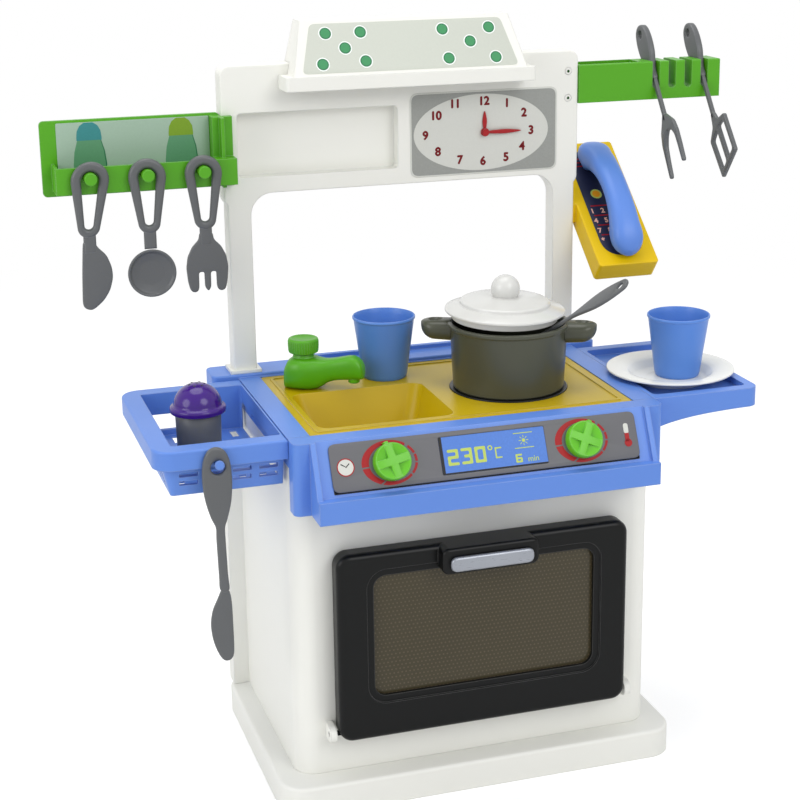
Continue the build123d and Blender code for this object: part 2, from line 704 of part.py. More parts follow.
def post_plug_span(side, clearance):
    """The plug under one post in X and Y, with a clearance round it."""
    half = POST_WIDTH / 2 - PLUG_INSET + clearance
    y0 = FRAME_FRONT + PLUG_INSET - clearance
    y1 = FRAME_BACK - PLUG_INSET + clearance
    return side * POST_X - half, side * POST_X + half, y0, y1


def worktop():
    top = COUNTER_TOP
    under = top - WORKTOP_PLATE
    body = block(-HALF_CABINET, HALF_CABINET, WORKTOP_FRONT, BAR_FRONT + WALL, CABINET_TOP, top)
    body -= block(
        -HALF_CABINET + WALL, HALF_CABINET - WALL, WORKTOP_FRONT + WALL, BAR_FRONT, CABINET_TOP - 1, under
    )
    half_bar = BAR_WIDTH / 2
    back = BAR_FRONT + BAR_DEPTH
    bar = slab(BAR_WIDTH, BAR_DEPTH, 8, BAR_BOTTOM, BAR_TOP, 0, BAR_FRONT + BAR_DEPTH / 2)
    bar = fillet(bar.faces().sort_by(Axis.Z)[-1].edges(), 2)
    body += bar
    lip_top = BAR_TOP + BAR_LIP_HEIGHT
    body += slab(BAR_WIDTH * BAR_LIP_SHARE, BAR_LIP_WIDTH, 3, BAR_TOP - 1, lip_top, 0, back - BAR_LIP_WIDTH)
    body -= block(-half_bar + WALL, half_bar - WALL, BAR_FRONT + WALL, back - WALL, CABINET_TOP - 1, BAR_TOP - WALL - 1)
    half_tray = TRAY_WIDTH / 2 + GAP
    body -= block(-half_tray, half_tray, WORKTOP_FRONT - 1, TRAY_BACK + GAP, TRAY_BOTTOM, top + 1)
    clear = BASIN_CLEAR
    body -= block(
        BASIN_LEFT - clear, BASIN_RIGHT + clear, BASIN_FRONT - clear, BASIN_BACK + clear, under - 1, top
    )
    body -= rod(TAP_STEM_RADIUS + 1, (TAP_X, TAP_Y, under - 1), (0, 0, 1), WORKTOP_PLATE)
    for side in (-1, 1):
        body -= block(*post_plug_span(side, GAP), BAR_TOP - WALL - 2, BAR_TOP + 1)
        x0, x1 = sorted((side * (HALF_CABINET - WALL - 1), side * (HALF_CABINET + 1)))
        for y in tab_places():
            half_tab = TAB_HALF + GAP
            body -= block(x0, x1, y - half_tab, y + half_tab, tab_height() - GAP, tab_height() + TAB_THICK + GAP)
    return body


def tab_places():
    """Where the tabs of the side basket and shelf enter the worktop, along Y."""
    return (SHELF_FRONT / 2, SHELF_BACK / 2)


def tab_height():
    """The underside of those tabs."""
    return CABINET_TOP + 8


def side_tabs(side):
    """Two tabs with a hooked end, on the side towards the worktop."""
    parts = []
    x0, x1 = sorted((side * (HALF_CABINET - WALL - 3), side * (HALF_CABINET + GAP + WALL)))
    hook0, hook1 = sorted((side * (HALF_CABINET - WALL - 3), side * (HALF_CABINET - WALL - GAP)))
    z = tab_height()
    for y in tab_places():
        parts.append(block(x0, x1, y - TAB_HALF, y + TAB_HALF, z, z + TAB_THICK))
        parts.append(block(hook0, hook1, y - TAB_HALF, y + TAB_HALF, z - TAB_THICK, z + TAB_THICK))
    return parts


def basin_solid(inset, depth):
    """The basin's volume, narrower at the bottom."""
    width = BASIN_RIGHT - BASIN_LEFT - 2 * inset
    length = BASIN_BACK - BASIN_FRONT - 2 * inset
    x = (BASIN_LEFT + BASIN_RIGHT) / 2
    y = (BASIN_FRONT + BASIN_BACK) / 2
    corner = BASIN_CORNER - inset
    top = Pos(x, y, TRAY_TOP + GAP) * RectangleRounded(width, length, corner)
    low = Pos(x, y, TRAY_TOP - depth) * RectangleRounded(width - 2 * BASIN_TAPER, length - 2 * BASIN_TAPER, corner)
    return loft([low, top])


def sink_tray():
    front = WORKTOP_FRONT + GAP
    middle = (front + TRAY_BACK) / 2
    depth = TRAY_BACK - front
    body = slab(TRAY_WIDTH, depth, TRAY_CORNER, TRAY_BOTTOM, TRAY_TOP, 0, middle)
    rim = slab(
        TRAY_WIDTH - 2 * RIM_INSET, depth - 2 * RIM_INSET, TRAY_CORNER, TRAY_TOP - 1, TRAY_TOP + RIM_HEIGHT, 0, middle
    )
    field = RIM_INSET + RIM_WIDTH
    rim -= slab(
        TRAY_WIDTH - 2 * field, depth - 2 * field, TRAY_CORNER, TRAY_TOP - 2, TRAY_TOP + 9, 0, middle
    )
    body += rim
    body += basin_solid(-THIN_WALL, BASIN_DEPTH) & block(
        BASIN_LEFT - 9, BASIN_RIGHT + 9, BASIN_FRONT - 9, BASIN_BACK + 9, TRAY_TOP - BASIN_DEPTH, TRAY_TOP
    )
    body -= basin_solid(0, BASIN_DEPTH - THIN_WALL)
    body -= rod(HOB_RADIUS + GAP, (HOB_X, HOB_Y, HOB_BOTTOM), (0, 0, 1), 9)
    body -= rod(TAP_STEM_RADIUS + FIT, (TAP_X, TAP_Y, TRAY_BOTTOM - 1), (0, 0, 1), 9)
    return body


def hob_plate():
    plate = rod(HOB_RADIUS, (HOB_X, HOB_Y, HOB_BOTTOM), (0, 0, 1), HOB_THICK)
    return fillet(plate.edges().group_by(Axis.Z)[-1], 1)


def tap_body():
    base = TRAY_TOP + GAP
    top = base + TAP_HEIGHT
    low = Pos(0, 0, base) * Circle(TAP_BASE_RADIUS)
    high = Pos(0, 0, top) * Circle(TAP_TOP_RADIUS)
    column = loft([low, high])
    column = fillet(column.faces().sort_by(Axis.Z)[-1].edges(), 5)
    half = SPOUT_WIDTH / 2
    arm = outline(
        (0, top - 3),
        (SPOUT_REACH * 0.45, top - 3),
        (SPOUT_REACH * 0.85, top + 1),
        (SPOUT_REACH, top - 5),
        (SPOUT_REACH, base + 14),
        (SPOUT_REACH - 14, base + 14),
        (SPOUT_REACH - 18, base + 20),
        (SPOUT_REACH * 0.45, base + 12),
        (TAP_BASE_RADIUS - 3, base + 3),
        (0, base + 3),
    )
    spout = front_view(arm, -half, half)
    spout = fillet(spout.edges().filter_by(Axis.Y), 2.5)
    body = column + spout
    body -= rod(5, (SPOUT_REACH - 7, 0, base + 13), (0, 0, 1), 8)
    body += rod(TAP_STEM_RADIUS, (0, 0, base - TAP_STEM_LENGTH), (0, 0, 1), TAP_STEM_LENGTH + 1)
    body -= rod(TAP_KNOB_STEM + FIT, (0, 0, top - 12), (0, 0, 1), 13)
    return Pos(TAP_X, TAP_Y, 0) * Rot(0, 0, SPOUT_TURN) * body


def tap_knob():
    base = TRAY_TOP + GAP + TAP_HEIGHT
    body = rod(TAP_KNOB_RADIUS, (TAP_X, TAP_Y, base + 2), (0, 0, 1), TAP_KNOB_HEIGHT - 2)
    body = fillet(body.faces().sort_by(Axis.Z)[-1].edges(), 2.5)
    body += rod(TAP_KNOB_RADIUS - 4, (TAP_X, TAP_Y, base + GAP), (0, 0, 1), 3)
    for i in range(FLUTES):
        turn = radians(360 / FLUTES * i)
        x = TAP_X + (TAP_KNOB_RADIUS + FLUTE_RADIUS / 2) * cos(turn)
        y = TAP_Y + (TAP_KNOB_RADIUS + FLUTE_RADIUS / 2) * sin(turn)
        body -= rod(FLUTE_RADIUS, (x, y, base + 1), (0, 0, 1), TAP_KNOB_HEIGHT - 5)
    body += rod(TAP_KNOB_STEM, (TAP_X, TAP_Y, base - 11), (0, 0, 1), 14)
    return body


def console_section(inset):
    """The console from the side, through its sloping face."""
    return outline(
        (WORKTOP_FRONT - GAP, COUNTER_TOP - inset),
        (SLOPE_TOP_Y + inset, COUNTER_TOP - inset),
        (SLOPE_BOTTOM_Y + inset * 1.2, SLOPE_BOTTOM_Z - inset),
        (LIP_Y + inset, SLOPE_BOTTOM_Z - inset),
        (LIP_Y + inset, CONSOLE_BOTTOM - inset),
        (CABINET_FRONT - GAP, CONSOLE_BOTTOM - inset),
        (CABINET_FRONT - GAP, CABINET_TOP),
        (WORKTOP_FRONT - GAP, CABINET_TOP),
    )


def console():
    half = HALF_CABINET
    slope_half = SLOPE_WIDTH / 2
    end = outline(
        (WORKTOP_FRONT - GAP, COUNTER_TOP),
        (CONSOLE_END, COUNTER_TOP),
        (CONSOLE_END, CONSOLE_BOTTOM),
        (CABINET_FRONT - GAP, CONSOLE_BOTTOM),
        (CABINET_FRONT - GAP, CABINET_TOP),
        (WORKTOP_FRONT - GAP, CABINET_TOP),
    )
    body = side_view(end, -half, half)
    front_corners = body.edges().filter_by(Axis.Z).group_by(Axis.Y)[0]
    body = fillet(front_corners, CONSOLE_CORNER)
    body -= block(-slope_half, slope_half, LIP_Y, CABINET_FRONT, CONSOLE_BOTTOM - 1, COUNTER_TOP + 1)
    body = body + side_view(console_section(0), -slope_half, slope_half)
    inner_half = half - WALL
    end_inner = outline(
        (WORKTOP_FRONT, COUNTER_TOP - WALL),
        (CONSOLE_END + WALL, COUNTER_TOP - WALL),
        (CONSOLE_END + WALL, CONSOLE_BOTTOM - 1),
        (WORKTOP_FRONT, CONSOLE_BOTTOM - 1),
    )
    ends = side_view(end_inner, -inner_half, inner_half)
    ends -= block(-slope_half, slope_half, LIP_Y, 0, CONSOLE_BOTTOM - 2, COUNTER_TOP)
    body -= ends
    body -= side_view(console_section(WALL), -slope_half + WALL, slope_half - WALL)
    for side in (-1, 1):
        x0, x1 = sorted((side * slope_half, side * (slope_half - CHEEK_WIDTH)))
        cheek = outline(
            (SLOPE_TOP_Y, COUNTER_TOP),
            (SLOPE_TOP_Y - CHEEK_HEIGHT, COUNTER_TOP),
            (SLOPE_BOTTOM_Y - CHEEK_HEIGHT, SLOPE_BOTTOM_Z),
            (SLOPE_BOTTOM_Y, SLOPE_BOTTOM_Z),
        )
        body += side_view(cheek, x0, x1)
        hole = rod(KNOB_STEM_RADIUS + FIT, (side * KNOB_SPACING / 2, 0, -8), (0, 0, 1), 16)
        body -= SLOPE * hole
    return body


def control_panel():
    body = extrude(RectangleRounded(PANEL_WIDTH, PANEL_HEIGHT, PANEL_CORNER), PANEL_THICK)
    body = fillet(body.faces().sort_by(Axis.Z)[-1].edges(), 1)
    body -= extrude(
        Pos(DISPLAY_X, 0, PANEL_THICK / 2) * RectangleRounded(DISPLAY_WIDTH, DISPLAY_HEIGHT, DISPLAY_CORNER),
        PANEL_THICK,
    )
    for side in (-1, 1):
        body -= rod(KNOB_STEM_RADIUS + FIT, (side * KNOB_SPACING / 2, 0, -1), (0, 0, 1), 9)
    return SLOPE * body


def display_plate():
    width = DISPLAY_WIDTH - 2 * DISPLAY_GAP
    height = DISPLAY_HEIGHT - 2 * DISPLAY_GAP
    plate = extrude(RectangleRounded(width, height, DISPLAY_CORNER - DISPLAY_GAP), LABEL)
    return SLOPE * (Pos(DISPLAY_X, 0, PANEL_THICK / 2) * plate)


def knob(side, turn):
    """A control knob whose raised cross and rim stand round four hollows."""
    base = PANEL_THICK + GAP
    top = base + KNOB_HEIGHT
    body = rod(KNOB_RADIUS, (0, 0, base), (0, 0, 1), KNOB_HEIGHT)
    body = fillet(body.faces().sort_by(Axis.Z)[-1].edges(), 1)
    body += extrude(Pos(0, KNOB_RADIUS, base) * Rectangle(KNOB_NUB, KNOB_NUB), KNOB_HEIGHT - KNOB_NUB)
    hollows = Circle(KNOB_RADIUS - KNOB_RIM)
    hollows -= Rectangle(2 * KNOB_RADIUS, KNOB_ARM)
    hollows -= Rectangle(KNOB_ARM, 2 * KNOB_RADIUS)
    body -= extrude(Pos(0, 0, top - KNOB_DISH) * hollows, KNOB_HEIGHT)
    body += rod(KNOB_STEM_RADIUS, (0, 0, base - KNOB_STEM_LENGTH), (0, 0, 1), KNOB_STEM_LENGTH + 1)
    return SLOPE * (Pos(side * KNOB_SPACING / 2, 0, 0) * Rot(0, 0, turn) * body)


def left_knob():
    return knob(-1, LEFT_KNOB_TURN)


def right_knob():
    return knob(1, RIGHT_KNOB_TURN)


def basket_layer(inset, z):
    """The basket seen from above at one height, moved in by an inset."""
    x0 = BASKET_LEFT + inset
    x1 = -HALF_CABINET - GAP - min(inset, WALL)
    y0 = BASKET_FRONT + inset
    y1 = BASKET_BACK - inset
    face = Pos((x0 + x1) / 2, (y0 + y1) / 2) * Rectangle(x1 - x0, y1 - y0)
    corners = face.vertices().group_by(Axis.X)[0]
    return Pos(0, 0, z) * fillet(corners, BASKET_CORNER - min(inset, BASKET_CORNER - 4))


def side_basket():
    band_low = COUNTER_TOP - BASKET_BAND
    body = extrude(basket_layer(0, band_low), BASKET_BAND)
    body = fillet(body.faces().sort_by(Axis.Z)[-1].edges(), 2.5)
    lower = BASKET_RIM - BASKET_TAPER - WALL
    body += loft([basket_layer(lower + BASKET_TAPER, BASKET_FLOOR), basket_layer(lower, band_low)])
    inner_low = Pos(0, 0, BASKET_FLOOR + THIN_WALL)
    mouth = BASKET_RIM
    x0 = BASKET_LEFT + mouth
    x1 = -HALF_CABINET - GAP - WALL
    y0 = BASKET_FRONT + mouth
    y1 = BASKET_BACK - mouth
    inside = Pos((x0 + x1) / 2, (y0 + y1) / 2) * RectangleRounded(x1 - x0, y1 - y0, 4)
    body -= extrude(inner_low * inside, 99)
    hollow = extrude(basket_layer(WALL, band_low - 1), BASKET_BAND - WALL + 1)
    hollow -= extrude(basket_layer(BASKET_RIM - WALL, band_low - 2), BASKET_BAND + 4)
    body -= hollow
    slot_z = (BASKET_FLOOR + 14, BASKET_FLOOR + 24)
    count = 4
    for i in range(count):
        x = x0 + 16 + i * (x1 - x0 - 32) / (count - 1)
        for z in slot_z:
            body -= front_view(rounded(SLOT_LENGTH, SLOT_HEIGHT, 1, x, z), BASKET_FRONT, BASKET_FRONT + 40)
    window_z = (BASKET_FLOOR + band_low) / 2 + 2
    window = rounded(52, band_low - BASKET_FLOOR - 14, 3, x0 + 34, window_z)
    body -= front_view(window, BASKET_BACK - 40, BASKET_BACK)
    for i in range(8):
        y = y0 + 18 + i * (y1 - y0 - 36) / 7
        body -= block(BASKET_LEFT, BASKET_LEFT + 40, y - 4, y + 4, BASKET_FLOOR + 8, band_low - 4)
    for i in range(5):
        x = x0 + 14 + i * (x1 - x0 - 28) / 4
        for y in (-84, 6, 72):
            if i != 2 or y != 6:
                body -= block(x - 4, x + 4, y - 12, y + 12, BASKET_FLOOR - 1, BASKET_FLOOR + 3)
    body += rod(HOOK_RADIUS, (HOOK_X, BASKET_FRONT + 1, hook_z()), (0, -1, 0), HOOK_LENGTH + 1)
    lip = rod(HOOK_RADIUS + 1.5, (HOOK_X, BASKET_FRONT - HOOK_LENGTH, hook_z() + 1), (0, 1, 0), 2)
    return join(body + lip, side_tabs(-1))


def hook_z():
    """The height of the basket's hook."""
    return COUNTER_TOP - BASKET_BAND / 2 - HOOK_DROP


def join(body, parts):
    """A body with more parts added."""
    for part in parts:
        body += part
    return body


def side_shelf():
    x0 = HALF_CABINET + GAP
    x1 = SHELF_RIGHT
    y0 = SHELF_FRONT
    y1 = SHELF_BACK
    skirt = make_face(
        Polyline((x0, COUNTER_TOP), (x1, COUNTER_TOP), (x1, COUNTER_TOP - SHELF_OUTER_DEPTH)).edges()
        + [
            Spline(
                (x1, COUNTER_TOP - SHELF_OUTER_DEPTH),
                (x1 - 45, COUNTER_TOP - SHELF_OUTER_DEPTH - 2),
                (x0, COUNTER_TOP - SHELF_INNER_DEPTH),
                tangents=[(-1, 0), (-0.86, -0.5)],
            )
        ]
        + Line((x0, COUNTER_TOP - SHELF_INNER_DEPTH), (x0, COUNTER_TOP)).edges()
    )
    body = front_view(skirt, y0, y1)
    corners = body.edges().filter_by(Axis.Z).group_by(Axis.X)[-1]
    body = fillet(corners, SHELF_CORNER)
    plate = WALL + SHELF_RECESS
    hollow_top = COUNTER_TOP - plate
    hollow = block(x0 + WALL, x1 - WALL, y0 + WALL, y1 - WALL, 0, hollow_top)
    corners = hollow.edges().filter_by(Axis.Z).group_by(Axis.X)[-1]
    body -= fillet(corners, SHELF_CORNER - WALL)
    recess_x0 = x0 + SHELF_RIM_SIDE
    recess_x1 = x1 - SHELF_RIM_OUTER
    recess = slab(
        recess_x1 - recess_x0,
        y1 - y0 - 2 * SHELF_RIM_ENDS,
        6,
        SHELF_FLOOR,
        COUNTER_TOP + 1,
        (recess_x0 + recess_x1) / 2,
        (y0 + y1) / 2,
    )
    body -= recess
    return join(body, side_tabs(1))


def back_frame():
    half = HALF_FRAME
    middle = (FRAME_TOP + STEP_HEIGHT) / 2
    upper = rounded(FRAME_WIDTH, FRAME_TOP - STEP_HEIGHT, FRAME_CORNER, 0, middle)
    lower = Pos(0, (BAR_TOP + FRAME_TOP - 40) / 2) * Rectangle(FRAME_WIDTH - 2 * POST_INSET, FRAME_TOP - 40 - BAR_TOP)
    body = front_view(upper + lower, FRAME_FRONT, FRAME_BACK)
    front_edges = body.faces().sort_by(Axis.Y)[0].outer_wire().edges()
    body = fillet(front_edges.filter_by(lambda e: e.center().Z > BAR_TOP + 1), 2)
    clear = OPENING_TOP - BAR_TOP + 40
    opening = rounded(OPENING_WIDTH, clear, OPENING_CORNER, 0, OPENING_TOP - clear / 2)
    inner_upper = rounded(
        FRAME_WIDTH - 2 * WALL, FRAME_TOP - OPENING_TOP - 2 * WALL, FRAME_CORNER - WALL, 0,
        (FRAME_TOP + OPENING_TOP) / 2,
    )
    body -= front_view(inner_upper, FRAME_FRONT + WALL, FRAME_BACK + 1)
    for side in (-1, 1):
        x = side * POST_X
        post_top = OPENING_TOP + 2 * WALL
        body -= block(
            x - POST_WIDTH / 2 + WALL, x + POST_WIDTH / 2 - WALL, FRAME_FRONT + WALL, FRAME_BACK + 1,
            BAR_TOP + FOOT_HEIGHT, post_top - OPENING_CORNER - WALL,
        )
    body -= front_view(opening, FRAME_FRONT - 1, FRAME_BACK + 1)
    for side in (-1, 1):
        x = side * POST_X
        width = POST_WIDTH + 2 * FOOT_LAP
        foot_y0 = FRAME_FRONT - FOOT_LAP
        foot_y1 = FRAME_BACK + FOOT_LAP
        body += block(x - width / 2, x + width / 2, foot_y0, foot_y1, BAR_TOP, BAR_TOP + FOOT_HEIGHT)
        body += block(*post_plug_span(side, 0), BAR_TOP - PLUG_DEPTH, BAR_TOP + 1)
    body += panel_ribs()
    body += niche_walls()
    niche = rounded(
        NICHE_RIGHT - NICHE_LEFT, NICHE_TOP - NICHE_BOTTOM, NICHE_CORNER,
        (NICHE_LEFT + NICHE_RIGHT) / 2, (NICHE_TOP + NICHE_BOTTOM) / 2,
    )
    body -= front_view(niche, FRAME_FRONT - 1, FRAME_FRONT + NICHE_DEPTH)
    slot0 = BAR_RACK_BOTTOM + 3 - GAP
    slot1 = BAR_RACK_TOP - 3 + GAP
    body -= block(half - WALL - 1, half + 1, tab_y() - GAP, tab_y() + TAB_THICK + GAP, slot0, slot1)
    body -= rod(CLOCK_PIN_RADIUS + FIT, (CLOCK_X, FRAME_FRONT - 1, CLOCK_Z), (0, 1, 0), 9)
    for place in rack_screw_places():
        body -= screw_hole(place, (0, 1, 0))
    return body


def panel_ribs():
    """The ribs behind the upper panel, clear of the clock's pin."""
    x0, x1 = -HALF_FRAME + 1, HALF_FRAME - 1
    z0, z1 = OPENING_TOP + 1, FRAME_TOP - 1
    y0 = FRAME_FRONT + WALL - 1
    first = CLOCK_X - PANEL_RIB_PITCH / 2
    z = CLOCK_Z + PANEL_RIB_RISE
    ribs = block(x0, x1, y0, FRAME_BACK, z - WALL / 2, z + WALL / 2)
    for i in range(-3, 2):
        x = first + i * PANEL_RIB_PITCH
        if x0 < x < x1:
            ribs += block(x - WALL / 2, x + WALL / 2, y0, FRAME_BACK, z0, z1)
    return ribs


def niche_walls():
    """The pocket behind the shelf niche."""
    wall = THIN_WALL
    box = rounded(
        NICHE_RIGHT - NICHE_LEFT + 2 * wall, NICHE_TOP - NICHE_BOTTOM + 2 * wall, NICHE_CORNER + wall,
        (NICHE_LEFT + NICHE_RIGHT) / 2, (NICHE_TOP + NICHE_BOTTOM) / 2,
    )
    return front_view(box, FRAME_FRONT + 1, FRAME_FRONT + NICHE_DEPTH + wall)


def tab_y():
    """The front of the right rack's tab, inside the frame."""
    return FRAME_FRONT + WALL + 0.2


def hood():
    front = HOOD_LIP_FRONT + HOOD_LIP_LEDGE
    profile = outline(
        (front, HOOD_LIP_TOP - 1),
        (HOOD_TOP_FRONT, HOOD_TOP),
        (FRAME_BACK, HOOD_TOP),
        (FRAME_BACK, FRAME_TOP + GAP),
        (FRAME_FRONT - GAP, FRAME_TOP + GAP),
        (FRAME_FRONT - GAP, HOOD_LIP_TOP - 1),
    )
    body = side_view(profile, -HOOD_BASE_WIDTH / 2, HOOD_BASE_WIDTH / 2)
    half_base = HOOD_BASE_WIDTH / 2
    half_top = HOOD_TOP_WIDTH / 2
    gable = outline(
        (-half_base, HOOD_LIP_TOP - 2), (half_base, HOOD_LIP_TOP - 2), (half_top, HOOD_TOP), (-half_top, HOOD_TOP)
    )
    body = body & front_view(gable, 0, FRAME_BACK + 1)
    inner_profile = outline(
        (front + 1.3 * WALL, HOOD_LIP_TOP - 3),
        (HOOD_TOP_FRONT + WALL, HOOD_TOP - WALL),
        (FRAME_BACK - WALL, HOOD_TOP - WALL),
        (FRAME_BACK - WALL, FRAME_TOP - 9),
        (FRAME_FRONT + 9, HOOD_LIP_TOP - 3),
    )
    inner = side_view(inner_profile, -HOOD_BASE_WIDTH, HOOD_BASE_WIDTH)
    gable_inner = outline(
        (-half_base + WALL, HOOD_LIP_TOP - 4), (half_base - WALL, HOOD_LIP_TOP - 4),
        (half_top - WALL, HOOD_TOP - WALL), (-half_top + WALL, HOOD_TOP - WALL),
    )
    inner = inner & front_view(gable_inner, 0, FRAME_BACK + 9)
    inner -= hood_ribs()
    half_lip = HOOD_LIP_WIDTH / 2
    lip = block(-half_lip, half_lip, HOOD_LIP_FRONT, FRAME_FRONT - GAP, HOOD_LIP_BOTTOM, HOOD_LIP_TOP)
    lip = fillet(lip.edges().filter_by(Axis.Z).group_by(Axis.Y)[0], 5)
    body = body + lip - inner
    under = block(
        -half_lip + WALL, half_lip - WALL, HOOD_LIP_FRONT + WALL, FRAME_FRONT - GAP - WALL,
        HOOD_LIP_BOTTOM - 1, HOOD_LIP_TOP - WALL,
    )
    return body - (under - hood_ribs())


def hood_ribs():
    """The upright ribs inside the hood, as tall as the hood."""
    half = HOOD_BASE_WIDTH / 2 - WALL
    return [
        block(x - WALL / 2, x + WALL / 2, HOOD_LIP_FRONT, FRAME_BACK, HOOD_LIP_BOTTOM, HOOD_TOP)
        for x in rib_places(-half, half)
    ]


def hood_label():
    """The thin printed plate on the hood's slope."""
    rise = HOOD_TOP - HOOD_LIP_TOP + 1
    run = HOOD_TOP_FRONT - HOOD_LIP_FRONT - HOOD_LIP_LEDGE
    slope = atan2(rise, run)
    middle = (0, (HOOD_TOP_FRONT + HOOD_LIP_FRONT + HOOD_LIP_LEDGE) / 2, (HOOD_TOP + HOOD_LIP_TOP - 1) / 2)
    plane = Plane(middle, x_dir=(1, 0, 0), z_dir=(0, -sin(slope), cos(slope)))
    height = hypot(rise, run) - 2 * HOOD_LABEL_MARGIN
    low = HOOD_BASE_WIDTH / 2 - 1.5 * HOOD_LABEL_MARGIN
    high = HOOD_TOP_WIDTH / 2 - HOOD_LABEL_MARGIN
    face = outline((-low, -height / 2), (low, -height / 2), (high, height / 2), (-high, height / 2))
    face = fillet(face.vertices(), 5)
    return extrude(plane * face, LABEL / 2)


def clock_dial():
    body = front_view(
        rounded(CLOCK_WIDTH, CLOCK_HEIGHT, CLOCK_CORNER, CLOCK_X, CLOCK_Z), FRAME_FRONT - LABEL, FRAME_FRONT
    )
    return body - rod(CLOCK_PIN_RADIUS + FIT, (CLOCK_X, FRAME_FRONT - 2, CLOCK_Z), (0, 1, 0), 9)


def clock_pin():
    tip = FRAME_FRONT - LABEL - 2 * HAND_THICK - 4 * GAP
    body = rod(CLOCK_PIN_RADIUS, (CLOCK_X, tip, CLOCK_Z), (0, 1, 0), FRAME_FRONT + WALL + 4 - tip)
    body += rod(CLOCK_PIN_RADIUS + 1.7, (CLOCK_X, tip, CLOCK_Z), (0, -1, 0), 1.2)
    return body + rod(CLOCK_PIN_RADIUS + 2, (CLOCK_X, FRAME_FRONT + WALL, CLOCK_Z), (0, 1, 0), 2)


def clock_hand(length, leaf, turn, back):
    """A leaf-shaped hand that points up before it is turned about the clock's pin."""
    blade = Pos(0, length * 0.62) * Ellipse(leaf, length * 0.38)
    stem = Pos(0, length / 4) * Rectangle(HAND_STEM, length / 2)
    face = Rot(0, 0, turn) * (Circle(HAND_HUB) + blade + stem)
    body = front_view(Pos(CLOCK_X, CLOCK_Z) * face, back - HAND_THICK, back)
    return body - rod(CLOCK_PIN_RADIUS + FIT, (CLOCK_X, back + 1, CLOCK_Z), (0, -1, 0), 9)


def clock_hour_hand():
    return clock_hand(HOUR_LENGTH, HOUR_LEAF, 0, FRAME_FRONT - LABEL - GAP)


def clock_minute_hand():
    return clock_hand(MINUTE_LENGTH, MINUTE_LEAF, -90, FRAME_FRONT - LABEL - 2 * GAP - HAND_THICK)


def peg_places():
    """The three pegs of the left rack, along X."""
    return [PEG_FIRST_X + i * PEG_PITCH for i in range(3)]


def left_rack():
    right = -HALF_FRAME - GAP
    bracket = right - RACK_BRACKET
    width = right - RACK_LEFT
    height = RACK_TOP - RACK_BOTTOM
    plate = rounded(width, height, 5, (RACK_LEFT + right) / 2, (RACK_TOP + RACK_BOTTOM) / 2)
    body = front_view(plate, RACK_BACK - RACK_PLATE, RACK_BACK)
    body += block(TROUGH_LEFT, TROUGH_RIGHT, TROUGH_FRONT, FRAME_FRONT - GAP, TROUGH_BOTTOM, TROUGH_TOP)
    body += block(TROUGH_LEFT, right, TROUGH_FRONT, RACK_BACK - 1, TROUGH_BOTTOM, TROUGH_TOP)
    body -= block(
        TROUGH_LEFT + WALL, bracket, TROUGH_FRONT + WALL, RACK_BACK - RACK_PLATE, TROUGH_BOTTOM + WALL, RACK_TOP
    )
    body += block(bracket, TROUGH_RIGHT, FRAME_FRONT - 8, FRAME_FRONT - GAP, RACK_BOTTOM + 3, RACK_TOP - 3)
    body += block(bracket, right, FRAME_FRONT - 8, RACK_BACK, RACK_BOTTOM + 3, RACK_TOP - 3)
    body += block(right - 4, right, TROUGH_FRONT + 8, FRAME_FRONT - 7, RACK_BOTTOM + 3, RACK_TOP - 3)
    for x in peg_places():
        peg = rod(PEG_RADIUS, (x, TROUGH_FRONT + 1, PEG_Z), (0, -1, 0), PEG_LENGTH + 1)
        body += fillet(peg.edges().group_by(Axis.Y)[0], 1)
    return body


def left_rack_label():
    high = RACK_TOP - 3
    low = TROUGH_BOTTOM + WALL + GAP
    width = RACK_LABEL_RIGHT - RACK_LABEL_LEFT
    back = RACK_BACK - RACK_PLATE
    plate = rounded(width, high - low, 2, (RACK_LABEL_LEFT + RACK_LABEL_RIGHT) / 2, (high + low) / 2)
    cover = front_view(plate, back - LABEL, back)
    return cover - block(-HALF_FRAME - RACK_BRACKET - 2 * GAP, 0, 0, RACK_BACK, 0, RACK_TOP)


def slot_places():
    """The four slots of the right rack, along X."""
    return [SLOT_FIRST_X + i * SLOT_PITCH for i in range(4)]


def right_rack():
    x0 = HALF_FRAME + GAP
    back = BAR_RACK_FRONT + BAR_RACK_DEPTH
    body = block(x0, BAR_RACK_RIGHT, BAR_RACK_FRONT, back, BAR_RACK_BOTTOM, BAR_RACK_TOP)
    body = fillet(body.faces().sort_by(Axis.Z)[-1].edges(), 1.5)
    body -= block(
        x0 + WALL, BIN_RIGHT, BAR_RACK_FRONT + WALL, back - WALL, BAR_RACK_BOTTOM + WALL, BAR_RACK_TOP + 1
    )
    radius = SLOT_WIDTH / 2
    for x in slot_places():
        floor = BAR_RACK_TOP - SLOT_DEPTH + radius
        body -= block(x - radius, x + radius, BAR_RACK_FRONT - 1, back + 1, floor, BAR_RACK_TOP + 1)
        body -= rod(radius, (x, BAR_RACK_FRONT - 1, floor), (0, 1, 0), BAR_RACK_DEPTH + 2)
    z0 = BAR_RACK_BOTTOM + 3
    z1 = BAR_RACK_TOP - 3
    body += block(x0 - TAB_LENGTH - WALL, x0 + WALL + 1, tab_y(), tab_y() + TAB_THICK, z0, z1)
    for x, y, z in rack_screw_places():
        body += rod(BOSS_RADIUS - 1, (x, tab_y(), z), (0, 1, 0), BOSS_HEIGHT)
        body -= screw_hole((x, y, z), (0, 1, 0))
    return body


